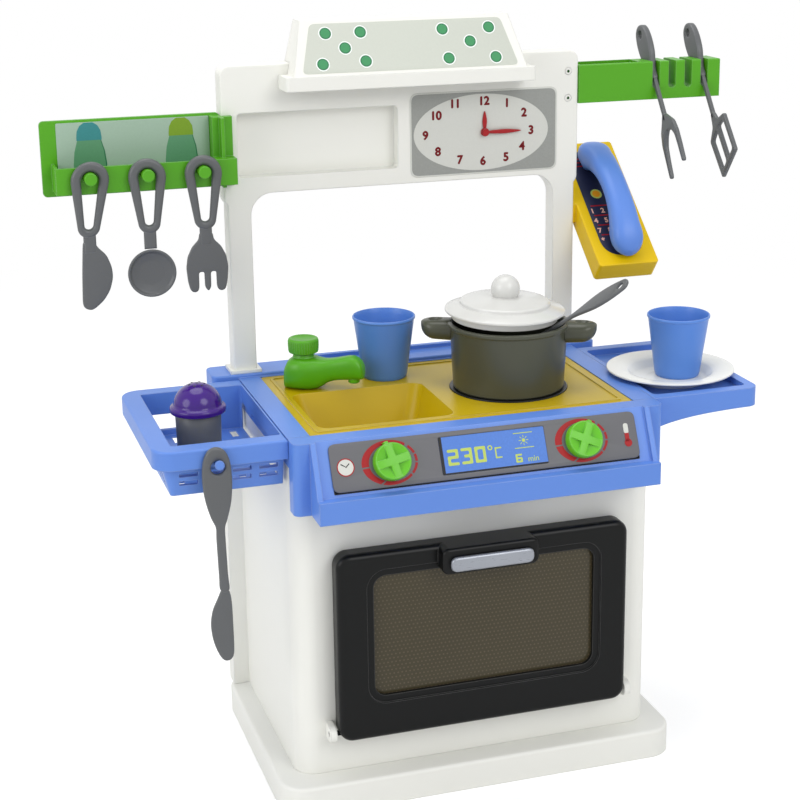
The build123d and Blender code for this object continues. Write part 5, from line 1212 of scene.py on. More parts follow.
@dataclass
class Console:
    """The grey control panel with its display, prints and knobs."""

    middle: Triple = (0.0, -155.5, 402.5)
    slope: float = 63.85
    half_wide: float = 175.0
    half_high: float = 26.0
    corner: float = 8.0
    thick: float = 2.5
    lead: float = 1.5
    display_x: float = 6.5
    display_wide: float = 121.0
    display_high: float = 41.0
    display_play: float = 0.2
    edge_wide: float = 3.2
    edge_high: float = 1.6
    glass: float = 2.06
    ink: float = 0.14
    lamp: Pair = (42.0, 7.5)
    clock_x: float = -159.0
    thermometer_x: float = 162.5
    knob_x: float = 109.5
    knob_radius: float = 20.0
    knob_high: float = 12.0
    knob_stem: float = 4.1
    knob_turns: Pair = (12.0, -25.0)
    arm: float = 4.4

    def face(self) -> Face:
        """The console's sloping front."""
        return leaning(self.middle, self.slope)

    def panel(self) -> None:
        """The grey panel, with a window for the display and a dark line under it."""
        half, tall, x = self.display_wide / 2, self.display_high / 2, self.display_x
        wide, high = self.half_wide, self.half_high
        outlines = [box(-wide, wide, -high, high, self.corner), box(x - half, x + half, -tall, tall, 2.0)]
        outlines += [circle(side * self.knob_x, 0, self.knob_stem, 24) for side in (-1, 1)]
        plate = moulded_plate("control_panel_piece", self.face(), outlines, 0, self.thick, 0.8)
        dressed(plate, SLATE, Body.KITCHEN, ["control_panel"])
        strip = box(0.5 - wide, wide - 0.5, -high - self.lead, 4.0 - high, self.lead)
        printed("panel_shadow", self.face(), [strip], GAP, 0.5, INK)

    def display(self) -> None:
        """The blue display, its dark edges and its figures."""
        face = self.face()
        half = self.display_wide / 2 - self.display_play
        tall = self.display_high / 2 - self.display_play
        left, right = self.display_x - half, self.display_x + half
        back = moulded_plate("display_back", face, [box(left, right, -tall, tall, 1.8)], 1.25, 2.05)
        dressed(back, SCREEN, Body.KITCHEN, ["display_plate"])
        # Painted shadow along the display's left and lower edges.
        edges = [
            box(left, left + self.edge_wide, -tall, tall, 0.8),
            box(left + self.edge_wide, right, -tall, self.edge_high - tall, 0.5),
        ]
        printed("display_shade", face, edges, self.glass, self.glass + 0.08, BLACK_PRINT_AND_SHADE)
        dressed(merged("display_figures_piece", self.figures(face)), LIME_PRINT, Body.KITCHEN)

    def figures(self, face: Face) -> list[Piece]:
        """Print the display's temperature, lines, minutes and lamp.

        Args:
            face: the face that carries them.

        Returns:
            The prints.
        """
        glass, top = self.glass, self.glass + self.ink
        parts = [
            block_figure(face, figure, (x, -2.5, glass), (12.5, 17.5), 3.2)
            for x, figure in ((-40.0, "2"), (-24.5, "3"), (-9.0, "0"))
        ]
        parts.append(block_figure(face, "C", (11.6, -2.8, glass), (7.6, 12.0), 1.6))
        degree = [circle(2.6, 3.4, 2.8, 20), circle(2.6, 3.4, 1.5, 20)]
        parts.append(moulded_plate("degree", face, degree, glass, top))
        parts.append(block_figure(face, "6", (34.0, -11.5, glass), (7.6, 9.4), 2.0))
        parts.append(lettering("minutes", face, "min", (50.4, -13.4, glass), 6.2, 0.05))
        for v in (15.2, -1.0):
            parts.append(moulded_plate("display_line", face, [box(31.0, 53.0, v, v + 0.9)], glass, top))
        parts.append(moulded_plate("lamp_sign", face, self.lamp_sign(face), glass, top))
        return parts

    def lamp_sign(self, face: Face) -> list[Outline]:
        """Draw the small sun between the display's two lines.

        Args:
            face: the face that carries it.

        Returns:
            The outlines of its middle and its eight rays.
        """
        shapes = [circle(*self.lamp, 2.0, 16)]
        for i in range(8):
            spoke = face.turned(45.0 * i, *self.lamp)
            shapes.append([self.flat(face, spoke.point(*corner)) for corner in box(3.0, 5.6, -0.35, 0.35)])
        return shapes

    @staticmethod
    def flat(face: Face, point: Vector) -> Pair:
        """A point's place across and up a face."""
        offset = point - Vector(face.origin)
        return (offset.dot(Vector(face.across)), offset.dot(Vector(face.up)))

    def scale_ring(self, side: int) -> list[Outline]:
        """Draw the broken red crescent round one knob, thick on its left.

        Args:
            side: -1 for the left knob, 1 for the right one.

        Returns:
            The outlines of its pieces.
        """
        x = side * self.knob_x
        pieces = []
        for start, end in ((52, 186), (190, 246), (250, 318), (322, 352), (356, 376), (380, 404)):
            turns = angles(max(int((end - start) / 4), 3), start, end - start)
            outer = [(x - 1.0 + 31.0 * math.cos(a), 24.0 * math.sin(a)) for a in turns]
            inner = [(x + 1.6 + 25.6 * math.cos(a), 20.4 * math.sin(a)) for a in turns]
            pieces.append(outer + inner[::-1])
        return pieces

    def prints(self) -> None:
        """The crescents, the clock sign and the thermometer sign."""
        face, low = self.face(), self.thick + GAP
        clock, tube = self.clock_x, self.thermometer_x
        red = [moulded_plate("scale", face, self.scale_ring(side), low, low + 0.12) for side in (-1, 1)]
        signs = (
            [circle(clock, 0, 9.6, 48), circle(clock, 0, 8.5, 48)],
            [circle(tube + 0.5, -8.5, 4.4, 28)],
            [box(tube - 2.5, tube + 2.5, -7.0, 2.4)],
        )
        red += [moulded_plate("sign", face, sign, low + 0.1, low + 0.3) for sign in signs]
        dressed(merged("panel_red_prints", red), RED_PRINT, Body.KITCHEN)
        grounds = ([circle(clock, 0, 8.6, 48)], [box(tube - 2.8, tube + 2.8, 2.0, 13.2, 2.6)])
        white = [moulded_plate("ground", face, ground, low, low + 0.2) for ground in grounds]
        dressed(merged("panel_white_prints", white), DIAL_WHITE, Body.KITCHEN)
        hands = (
            [(-0.5, 0.5), (-5.4, 3.2), (-4.6, 4.2), (0.4, 0.6)],
            [(-0.4, 0.0), (4.0, 4.2), (4.6, 3.4), (0.2, -0.6)],
        )
        black = [moulded_plate("hand", face, [shifted(hand, clock)], low + 0.2, low + 0.36) for hand in hands]
        dressed(merged("panel_black_prints", black), BLACK_PRINT_AND_SHADE, Body.KITCHEN)

    def knob(self, name: str, side: int) -> Piece:
        """Make a knob: a dished top with a raised cross inside a thin rim.

        Args:
            name: the piece's name.
            side: -1 for the left knob, 1 for the right one.

        Returns:
            The knob.
        """
        face = self.face().turned(self.knob_turns[side > 0], side * self.knob_x)
        radius, low = self.knob_radius, self.thick + 0.3
        high, reach, arm = low + self.knob_high, radius - 2.0, self.arm
        profile = [
            (0, low), (radius - 0.5, low), (radius, low + 0.6), (radius, high - 1.6),
            (radius - 0.6, high - 0.4), (radius - 1.4, high), (radius - 2.2, high - 0.3),
            (6.0, high - 4.2), (0, high - 4.2),
        ]
        cross = [
            (arm, arm), (arm, reach), (-arm, reach), (-arm, arm), (-reach, arm), (-reach, -arm),
            (-arm, -arm), (-arm, -reach), (arm, -reach), (arm, -arm), (reach, -arm), (reach, arm),
        ]
        nub = box(-2.4, 2.4, reach, radius + 2.4, 1.0)
        parts = [
            turned("knob_cup", face, profile),
            moulded_plate("knob_cross", face, [eased(cross, 1.0)], high - 5.0, high - 0.1, 0.6),
            moulded_plate("knob_nub", face, [nub], low, high - 4.0, 0.8),
        ]
        return merged(name, parts)

    def build(self) -> None:
        """Make the panel, the display, the prints and both knobs."""
        self.panel()
        self.display()
        self.prints()
        sides = ((-1, "left_knob", Body.LEFT_CONTROL), (1, "right_knob", Body.RIGHT_CONTROL))
        for side, node, body in sides:
            dressed(self.knob(f"{node}_piece", side), GRASS, body, [node])


def block_figure(face: Face, figure: str, place: Triple, size: Pair, stroke: float) -> Piece:
    """A blocky figure with softened corners.

    Args:
        face: the face that carries it.
        figure: which figure.
        place: its middle across and up the face, and its height over it.
        size: its width and height.
        stroke: the width of a stroke.

    Returns:
        The figure as one mesh.
    """
    w, h, s = size[0], size[1], stroke
    low, high = (h - s) / 2, (h + s) / 2
    full = [(0, 0), (w, 0), (w, h), (0, h)]
    shapes = {
        "2": [
            [(0, h), (w, h), (w, low), (s, low), (s, s), (w, s), (w, 0), (0, 0), (0, high),
             (w - s, high), (w - s, h - s), (0, h - s)],
        ],
        "3": [
            [(0, h), (w, h), (w, 0), (0, 0), (0, s), (w - s, s), (w - s, low), (s, low), (s, high),
             (w - s, high), (w - s, h - s), (0, h - s)],
        ],
        "0": [full, [(s, s), (w - s, s), (w - s, h - s), (s, h - s)]],
        "6": [
            [(0, h), (w, h), (w, h - s), (s, h - s), (s, high), (w, high), (w, 0), (0, 0)],
            [(s, s), (w - s, s), (w - s, low), (s, low)],
        ],
        "C": [[(0, h), (w, h), (w, h - s), (s, h - s), (s, s), (w, s), (w, 0), (0, 0)]],
    }
    left, bottom = place[0] - w / 2, place[1] - h / 2
    outlines = [shifted(eased(shape, s * 0.5), left, bottom) for shape in shapes[figure]]
    return moulded_plate("figure", face, outlines, place[2], place[2] + 0.14)


@dataclass
class Hood:
    """The printed label on the hood's slope."""

    slope: float = 64.573
    middle: Triple = (0.0, 106.5, 811.5)
    low_half: float = 130.0
    high_half: float = 115.0
    half_high: float = 29.5
    dots: tuple[Pair, ...] = (
        (-97.7, 17.6), (-56.4, 17.7), (-76.7, -0.6), (-105.2, -19.0), (-54.2, -17.1),
        (42.3, 17.3), (74.3, 1.4), (99.5, 17.6), (45.5, -18.1), (103.2, -19.0),
    )
    dot_radius: float = 6.4
    thick: float = 0.42
    layer: float = 0.08

    def build(self) -> None:
        """Make the label and its dots."""
        face = leaning(self.middle, self.slope)
        low, high, tall = self.low_half, self.high_half, self.half_high
        outline = eased([(-low, -tall), (low, -tall), (high, tall), (-high, tall)], 6.0)
        label = moulded_plate("hood_label_piece", face, [outline], GAP, self.thick, 0.12)
        dressed(label, LABEL_WHITE, Body.KITCHEN, ["hood_label"])
        for number, (margin, finish) in enumerate(((1.7, PALE_MINT), (0.4, DARK_MINT), (-0.9, MINT))):
            bottom = self.thick + self.layer * number
            dots = [circle(u, v, self.dot_radius + margin) for u, v in self.dots]
            printed(f"hood_dots_{number}", face, dots, bottom, bottom + self.layer, finish)


@dataclass
class Clock:
    """The clock on the upper panel, with its figures and red hands."""

    x: float = 98.6
    z: float = 703.0
    front: float = 126.0
    half_wide: float = 93.0
    half_high: float = 50.0
    dial_x: float = -3.5
    dial_wide: float = 85.0
    dial_high: float = 45.5
    rim: float = 2.0
    hub: float = 5.0
    bore: float = 2.6
    tall: float = 9.8
    figures: tuple[Pair, ...] = (
        (28.6, 32.8), (50.4, 20.3), (59.6, -1.2), (48.1, -19.9), (27.6, -32.0), (-1.8, -35.0),
        (-31.0, -32.1), (-58.5, -20.8), (-73.9, 0.3), (-60.7, 22.0), (-36.9, 34.9), (-0.5, 36.6),
    )

    def face(self) -> Face:
        """The front of the upper panel, about the clock's pin."""
        return upright(self.front, self.x, self.z)

    def dial(self) -> None:
        """The white-rimmed card, its grey ground, the white oval and the figures."""
        face, x = self.face(), self.dial_x
        wide, high = self.half_wide, self.half_high
        outlines = [box(-wide, wide, -high, high, 10.0), circle(0, 0, self.bore, 20)]
        card = moulded_plate("clock_card", face, outlines, GAP, 0.5, 0.15)
        dressed(card, DIAL_WHITE, Body.KITCHEN, ["clock_dial"])
        wide, high = wide - self.rim, high - self.rim
        ground = [box(-wide, wide, -high, high, 9.0), oval(x, 0, self.dial_wide, self.dial_high, 72)]
        printed("clock_grey", face, ground, 0.5, 0.58, DIAL_GREY)
        middle = oval(x, 0, self.dial_wide - 0.2, self.dial_high - 0.2, 72)
        printed("clock_oval", face, [middle, circle(0, 0, self.bore + 0.1, 20)], 0.5, 0.57, DIAL_WHITE)
        marks = [self.mark(hour, *place) for hour, place in enumerate(self.figures, 1)]
        dressed(merged("clock_figures", marks), DARK_RED, Body.KITCHEN)

    def mark(self, hour: int, u: float, v: float) -> Piece:
        """Print one hour's figure boldly; the nine is a six upside down.

        Args:
            hour: the hour.
            u: the figure's place across the dial.
            v: its place up the dial.

        Returns:
            The figure.
        """
        text, turn = ("6", 180.0) if hour == 9 else (str(hour), 0.0)
        face = self.face().turned(turn, u, v)
        shifts = ((-0.6, 0.0), (0.6, 0.0), (0.0, 0.6), (0.0, -0.6))
        prints = [
            lettering("figure", face, text, (x, y, 0.56 + 0.02 * i), self.tall, 0.1, 0.1)
            for i, (x, y) in enumerate(shifts)
        ]
        return merged("figure", prints)

    def hand(self, name: str, length: float, wide: float, low: float) -> Piece:
        """Make a leaf-shaped hand on a round hub, pointing up.

        Args:
            name: the piece's name.
            length: how far it reaches from the pin.
            wide: half its width.
            low: the height of its back over the panel.

        Returns:
            The hand.
        """
        half = [(0.0, length), (1.3, length * 0.88), (wide, length * 0.6), (wide, length * 0.4), (1.4, 4.0)]
        ring = [circle(0, 0, self.hub, 40), circle(0, 0, self.bore, 20)]
        parts = [
            moulded_plate(name, self.face(), [flowing(mirrored(half), 6)], low, low + 1.6, 0.5),
            moulded_plate(name, self.face(), ring, low, low + 1.6, 0.4),
        ]
        return merged(name, parts)

    def hands(self) -> None:
        """The hour hand at twelve and the minute hand at three."""
        hour = self.hand("clock_hour_piece", 25.0, 2.6, 1.1)
        dressed(hour, RED, Body.HOUR_HAND, ["clock_hour_hand"])
        minute = self.hand("clock_minute_piece", 46.0, 2.5, 3.0)
        place = self.face().matrix()
        minute.data.transform(place @ Matrix.Rotation(math.radians(-90.0), 4, "Z") @ place.inverted())
        dressed(minute, RED, Body.MINUTE_HAND, ["clock_minute_hand"])

    def build(self) -> None:
        """Make the dial and both hands."""
        self.dial()
        self.hands()


@dataclass
class LeftRack:
    """The label in the left rack, with two shakers drawn on it."""

    back: float = 134.0
    left: float = -404.0
    right: float = -231.9
    low: float = 667.3
    high: float = 739.0
    drawings: tuple[float, ...] = (-367.8, -264.3)

    def build(self) -> None:
        """Make the label and its drawings."""
        face = upright(self.back)
        outline = box(self.left, self.right, self.low, self.high, 2.0)
        card = moulded_plate("rack_label_piece", face, [outline], GAP, 0.8, 0.15)
        dressed(card, LABEL_GREY, Body.KITCHEN, ["left_rack_label"])
        dome = mirrored([(5.0, 738.4), (10.0, 735.0), (13.2, 729.0), (14.0, 722.0), (14.0, 718.5)])
        for x, finish in zip(self.drawings, (TEAL, LIME_DRAWING)):
            printed("drawn_cap", face, [shifted(dome, x)], 0.8, 0.9, finish)
        flank = [(13.4, 718.5), (17.0, 706.0), (18.6, 692.0), (18.3, 668.0)]
        jars = [shifted(mirrored(flank), x) for x in self.drawings]
        printed("drawn_jars", face, jars, 0.8, 0.88, BODY_DRAWING)
        side = [(12.6, 718.5), *flank, (16.9, 668.0), (17.2, 692.0), (15.8, 706.0)]
        sides = [shifted(side, x) for x in self.drawings]
        printed("drawn_jar_sides", face, sides, 0.88, 0.92, DARK_MINT)


@dataclass
class Phone:
    """The toy phone's keypad and its arched handset."""

    centre: Triple = (258.5, 128.0, 607.0)
    slope: float = 39.5
    pad_half: float = 27.0
    pad_long: float = 84.0
    half_long: float = 88.0
    half_wide: float = 22.5
    drop: float = 3.5
    low: float = 1.1
    rise: float = 24.0
    thick: float = 21.0
    foot: float = 34.0
    pad_top: float = 0.7
    button: Pair = (-8.5, 13.0)
    first_key: Pair = (-22.0, -14.0)
    key_pitch: Pair = (13.5, 15.3)

    def face(self) -> Face:
        """The phone's sloping face."""
        return leaning(self.centre, self.slope)

    def keypad(self) -> None:
        """The navy pad, its button, figures and red lines."""
        face, top = self.face(), self.pad_top
        half, long = self.pad_half, self.pad_long
        outline = eased([(-half, -long), (half, -long), (half, long), (-half, long)], half * 0.98, steps=10)
        pad = moulded_plate("keypad_piece", face, [outline], GAP, top, 0.2)
        dressed(pad, NAVY, Body.KITCHEN, ["phone_keypad"])
        ring = [circle(*self.button, 7.2), circle(*self.button, 5.3)]
        printed("keypad_ring", face, ring, top, top + 0.2, LIME_PRINT)
        printed("keypad_button", face, [circle(*self.button, 5.2)], top, top + 0.3, AMBER)
        figures = []
        for number, text in enumerate("123456789*0#"):
            row, column = divmod(number, 3)
            u = self.first_key[0] + self.key_pitch[0] * column
            v = self.first_key[1] - self.key_pitch[1] * row
            figures.append(lettering("figure", face, text, (u, v, top), 7.0, 0.3))
        dressed(merged("keypad_figures", figures), BLUSH, Body.KITCHEN)
        lines = [box(-22.0, 22.0, v, v + 1.6) for v in (70.0, 64.0, 58.0, -6.5, -21.8, -37.1, -52.4)]
        printed("keypad_lines", face, lines, top, top + 0.1, RED_PRINT)

    def handset(self) -> None:
        """The handset: one smooth arch with full round ends."""
        stations = []
        inner = self.half_long - self.foot
        round_end = self.half_wide * 1.1
        for angle in angles(46, -90.0, 180.0):
            v = self.half_long * math.sin(angle)
            over = max(abs(v) - (self.half_long - round_end), 0.0) / round_end
            plan = math.sqrt(max(1.0 - over**2, 0.0004))
            arch = math.sqrt(max(1.0 - (v / (self.half_long * 1.12)) ** 2, 0.0))
            top = self.low + (self.rise + self.thick) * arch
            under = self.low + self.rise * max(1.0 - (v / inner) ** 2, 0.0) ** 0.8
            middle = (top + under) / 2
            half = (top - under) / 2 * (0.35 + 0.65 * plan)
            wide = self.half_wide * plan * (0.68 + 0.32 * (v / self.half_long) ** 2)
            stations.append((v - self.drop, wide, max(middle - half, self.low), middle + half))
        piece = pebble("handset_piece", self.face(), stations, power=2.7, steps=40)
        dressed(piece, SKY, Body.HANDSET, ["phone_handset"])

    def build(self) -> None:
        """Make the keypad and the handset."""
        self.keypad()
        self.handset()


@dataclass
class Cutlery:
    """Knife, spoon and fork, hanging by their drop-shaped loops."""

    back: float = 96.0
    thick: float = 9.0
    first: float = -375.0
    pitch: float = 63.2
    top: float = 680.15
    band: float = 11.0
    ring: float = 21.0
    low: float = 629.0
    low_ring: float = 12.5
    low_hole: float = 5.0
    neck: float = 7.0
    knife_lean: float = 4.0
    bowl_z: float = 571.3
    flat: float = 2.9

    def face(self, number: int) -> Face:
        """The middle plane of one piece of cutlery, with its up direction upwards."""
        return upright(self.back - self.thick / 2, self.first + number * self.pitch, 0.0)

    def handle(self, number: int, lean: float = 0.0) -> list[Piece]:
        """Make the open loop and the short neck below it.

        Args:
            number: which of the three it is, from the left.
            lean: how far its foot stands to the left, in millimetres.

        Returns:
            The loop and the neck.
        """
        face, half = self.face(number), self.thick / 2
        outer = drop(self.top, self.ring, self.low, self.low_ring, 80)
        hole = drop(self.top, self.ring - self.band, self.low + 2.0, self.low_hole, 56)
        drift = lean / (self.top - self.low)
        lines = [[(u - drift * (self.top - v), v) for u, v in line] for line in (outer, hole)]
        neck = box(-self.neck - lean, self.neck - lean, self.low - 30.0, self.low - 8.0)
        return [
            moulded_plate("loop", face, lines, -half, half, 3.8, 5),
            moulded_plate("neck", face, [neck], 1.0 - half, half - 1.0, 3.0, 4),
        ]

    def knife(self) -> None:
        """The knife, straight at its back and bellied at its edge."""
        blade = eased(
            [(-11.4, 613.0), (1.0, 613.0), (3.8, 605.4), (13.5, 596.0), (18.6, 582.0), (19.4, 570.0),
             (15.5, 556.0), (8.0, 544.5), (-3.0, 535.4), (-8.0, 534.2), (-14.5, 537.0), (-16.0, 543.0),
             (-14.6, 575.0), (-12.4, 606.0)],
            5.0,
        )
        plate = moulded_plate("blade", self.face(0), [blade], -self.flat, self.flat, 1.8, 3)
        parts = self.handle(0, self.knife_lean) + [plate]
        dressed(merged("knife_piece", parts), STONE, Body.KNIFE, ["knife"])

    def spoon(self) -> None:
        """The spoon with a round bowl, sunk inside its rim."""
        centre = self.face(1).turned(0.0, 0.0, self.bowl_z)
        profile = [
            (0, -3.2), (15, -3.0), (24, -1.4), (27.2, 0.8), (27.5, 2.6), (26.4, 3.6), (24.8, 3.2),
            (23.2, 1.0), (14, -1.0), (0, -1.6),
        ]
        bowl = turned("bowl", centre, eased(profile, 1.2, False), 80)
        dressed(merged("hanging_spoon_piece", self.handle(1) + [bowl]), STONE, Body.SPOON, ["hanging_spoon"])

    def fork(self) -> None:
        """The fork with round shoulders and three tines."""
        half = [
            (7.4, 613.0), (8.6, 605.0), (16.5, 597.0), (22.0, 586.0), (24.0, 573.0), (22.6, 557.0),
            (20.2, 547.0), (16.2, 544.6), (12.0, 545.8), (10.3, 550.0), (10.1, 568.0), (3.6, 568.0),
            (3.4, 550.0), (0.0, 544.8),
        ]
        head = eased(mirrored(half), 3.0)
        plate = moulded_plate("fork_head", self.face(2), [head], -self.flat, self.flat, 1.4, 3)
        dressed(merged("hanging_fork_piece", self.handle(2) + [plate]), STONE, Body.FORK, ["hanging_fork"])

    def build(self) -> None:
        """Make all three."""
        self.knife()
        self.spoon()
        self.fork()


@dataclass
class Spatula:
    """The long spatula on the basket's hook."""

    x: float = -289.0
    back: float = -126.6
    thick: float = 7.0
    top: float = 432.2
    bottom: float = 190.4
    hole_z: float = 410.35
    hole: float = 7.8

    def build(self) -> None:
        """Make the spatula: a paddle handle, a thin neck and a drop-shaped blade."""
        face = upright(self.back, self.x)
        t, b = self.top, self.bottom
        handle = flowing(
            [(-2.0, t), (5.0, t - 2.2), (10.4, t - 9), (13.6, t - 22), (14.2, t - 42), (12.2, t - 62),
             (7.6, t - 80), (4.8, t - 89), (4.8, t - 104), (5.8, b + 100), (6.4, b + 82), (-2.8, b + 82),
             (-3.8, b + 100), (-4.8, t - 104), (-5.0, t - 89), (-9.4, t - 78), (-14.4, t - 60),
             (-17.0, t - 40), (-16.6, t - 21), (-13.6, t - 9), (-8.6, t - 2.2)], 6,
        )
        hole = circle(0, self.hole_z, self.hole, 40)
        blade = flowing(
            [(1.8, b + 86), (6.2, b + 81), (8.6, b + 68), (9.2, b + 40), (9.2, b + 13), (7.4, b + 4),
             (2.4, b + 0.4), (-4.0, b + 3.2), (-10.2, b + 16), (-14.0, b + 32), (-14.6, b + 47),
             (-11.8, b + 61), (-6.2, b + 73), (-2.6, b + 81)], 6,
        )
        parts = [
            moulded_plate("grip", face, [handle, hole], 0, self.thick, 2.6, 4),
            moulded_plate("blade", face, [blade], 1.2, self.thick - 1.2, 1.8, 3),
        ]
        dressed(merged("spatula_piece", parts), STONE, Body.SPATULA, ["spatula"])


@dataclass
class RackTools:
    """The long fork and the slotted turner that lean in the right rack."""

    first: float = 321.0
    pitch: float = 21.6
    y: float = 96.0
    z: float = 712.84
    lean: float = 37.0
    top: float = 128.0
    flat: float = 2.5

    def face(self, number: int) -> Face:
        """Lay the middle plane of one tool, up along its handle.

        Args:
            number: which of the rack's places it leans in, from the left.

        Returns:
            The face.
        """
        angle = math.radians(self.lean)
        sin, cos = math.sin(angle), math.cos(angle)
        return Face((self.first + number * self.pitch, self.y, self.z), (0.0, -cos, sin), (0.0, sin, cos))

    def handle(self, face: Face) -> list[Piece]:
        """Make the paddle with its hole, and the thin neck.

        Args:
            face: the tool's middle plane.

        Returns:
            The paddle and the neck.
        """
        t = self.top
        half = [
            (0.0, t), (8.4, t - 3.4), (13.2, t - 12), (15.2, t - 26), (13.4, t - 42), (8.2, t - 54),
            (4.0, t - 64), (3.0, t - 74),
        ]
        paddle = [flowing(mirrored(half), 6), circle(0, t - 12.0, 5.0)]
        neck = box(-3.0, 3.0, -6.0, t - 62)
        return [
            moulded_plate("grip", face, paddle, -4.4, 4.4, 2.6, 4),
            moulded_plate("neck", face, [neck], -self.flat, self.flat, 1.6, 3),
        ]

    def fork(self) -> None:
        """The long fork with two curved tines."""
        face = self.face(0)
        head = [
            (-3, 4), (3, 4), (10, -4), (19, -14), (22, -28), (21.5, -48), (20, -68), (17.5, -69.5),
            (15, -68), (15.2, -48), (14.5, -32), (10, -23), (0, -18), (-8, -24), (-14.5, -34), (-18, -50),
            (-21, -70), (-23.5, -72.5), (-26, -71), (-24.6, -50), (-23, -28), (-18, -14), (-9, -4),
        ]
        tines = moulded_plate("tines", face, [eased(head, 3.0)], -self.flat, self.flat, 1.5, 3)
        parts = self.handle(face) + [tines]
        dressed(merged("roasting_fork_piece", parts), STONE, Body.LONG_FORK, ["roasting_fork"])

    def turner(self) -> None:
        """The turner, a leaning frame with a bar down its middle."""
        face = self.face(3)
        outlines = (
            [(3, 2), (8, -11), (27, -13), (30, -65), (-17, -79), (-22, -27), (-7, -15), (-3, 2)],
            [(-16.0, -29.0), (0.5, -22.0), (3.0, -66.0), (-11.5, -71.0)],
            [(6.5, -20.0), (21.5, -19.0), (24.5, -60.0), (9.0, -64.5)],
        )
        frame = [eased(outline, 3.0) for outline in outlines]
        plate = moulded_plate("frame", face, frame, -self.flat, self.flat, 1.3, 3)
        parts = self.handle(face) + [plate]
        dressed(merged("slotted_turner_piece", parts), STONE, Body.TURNER, ["slotted_turner"])

    def build(self) -> None:
        """Make both tools."""
        self.fork()
        self.turner()


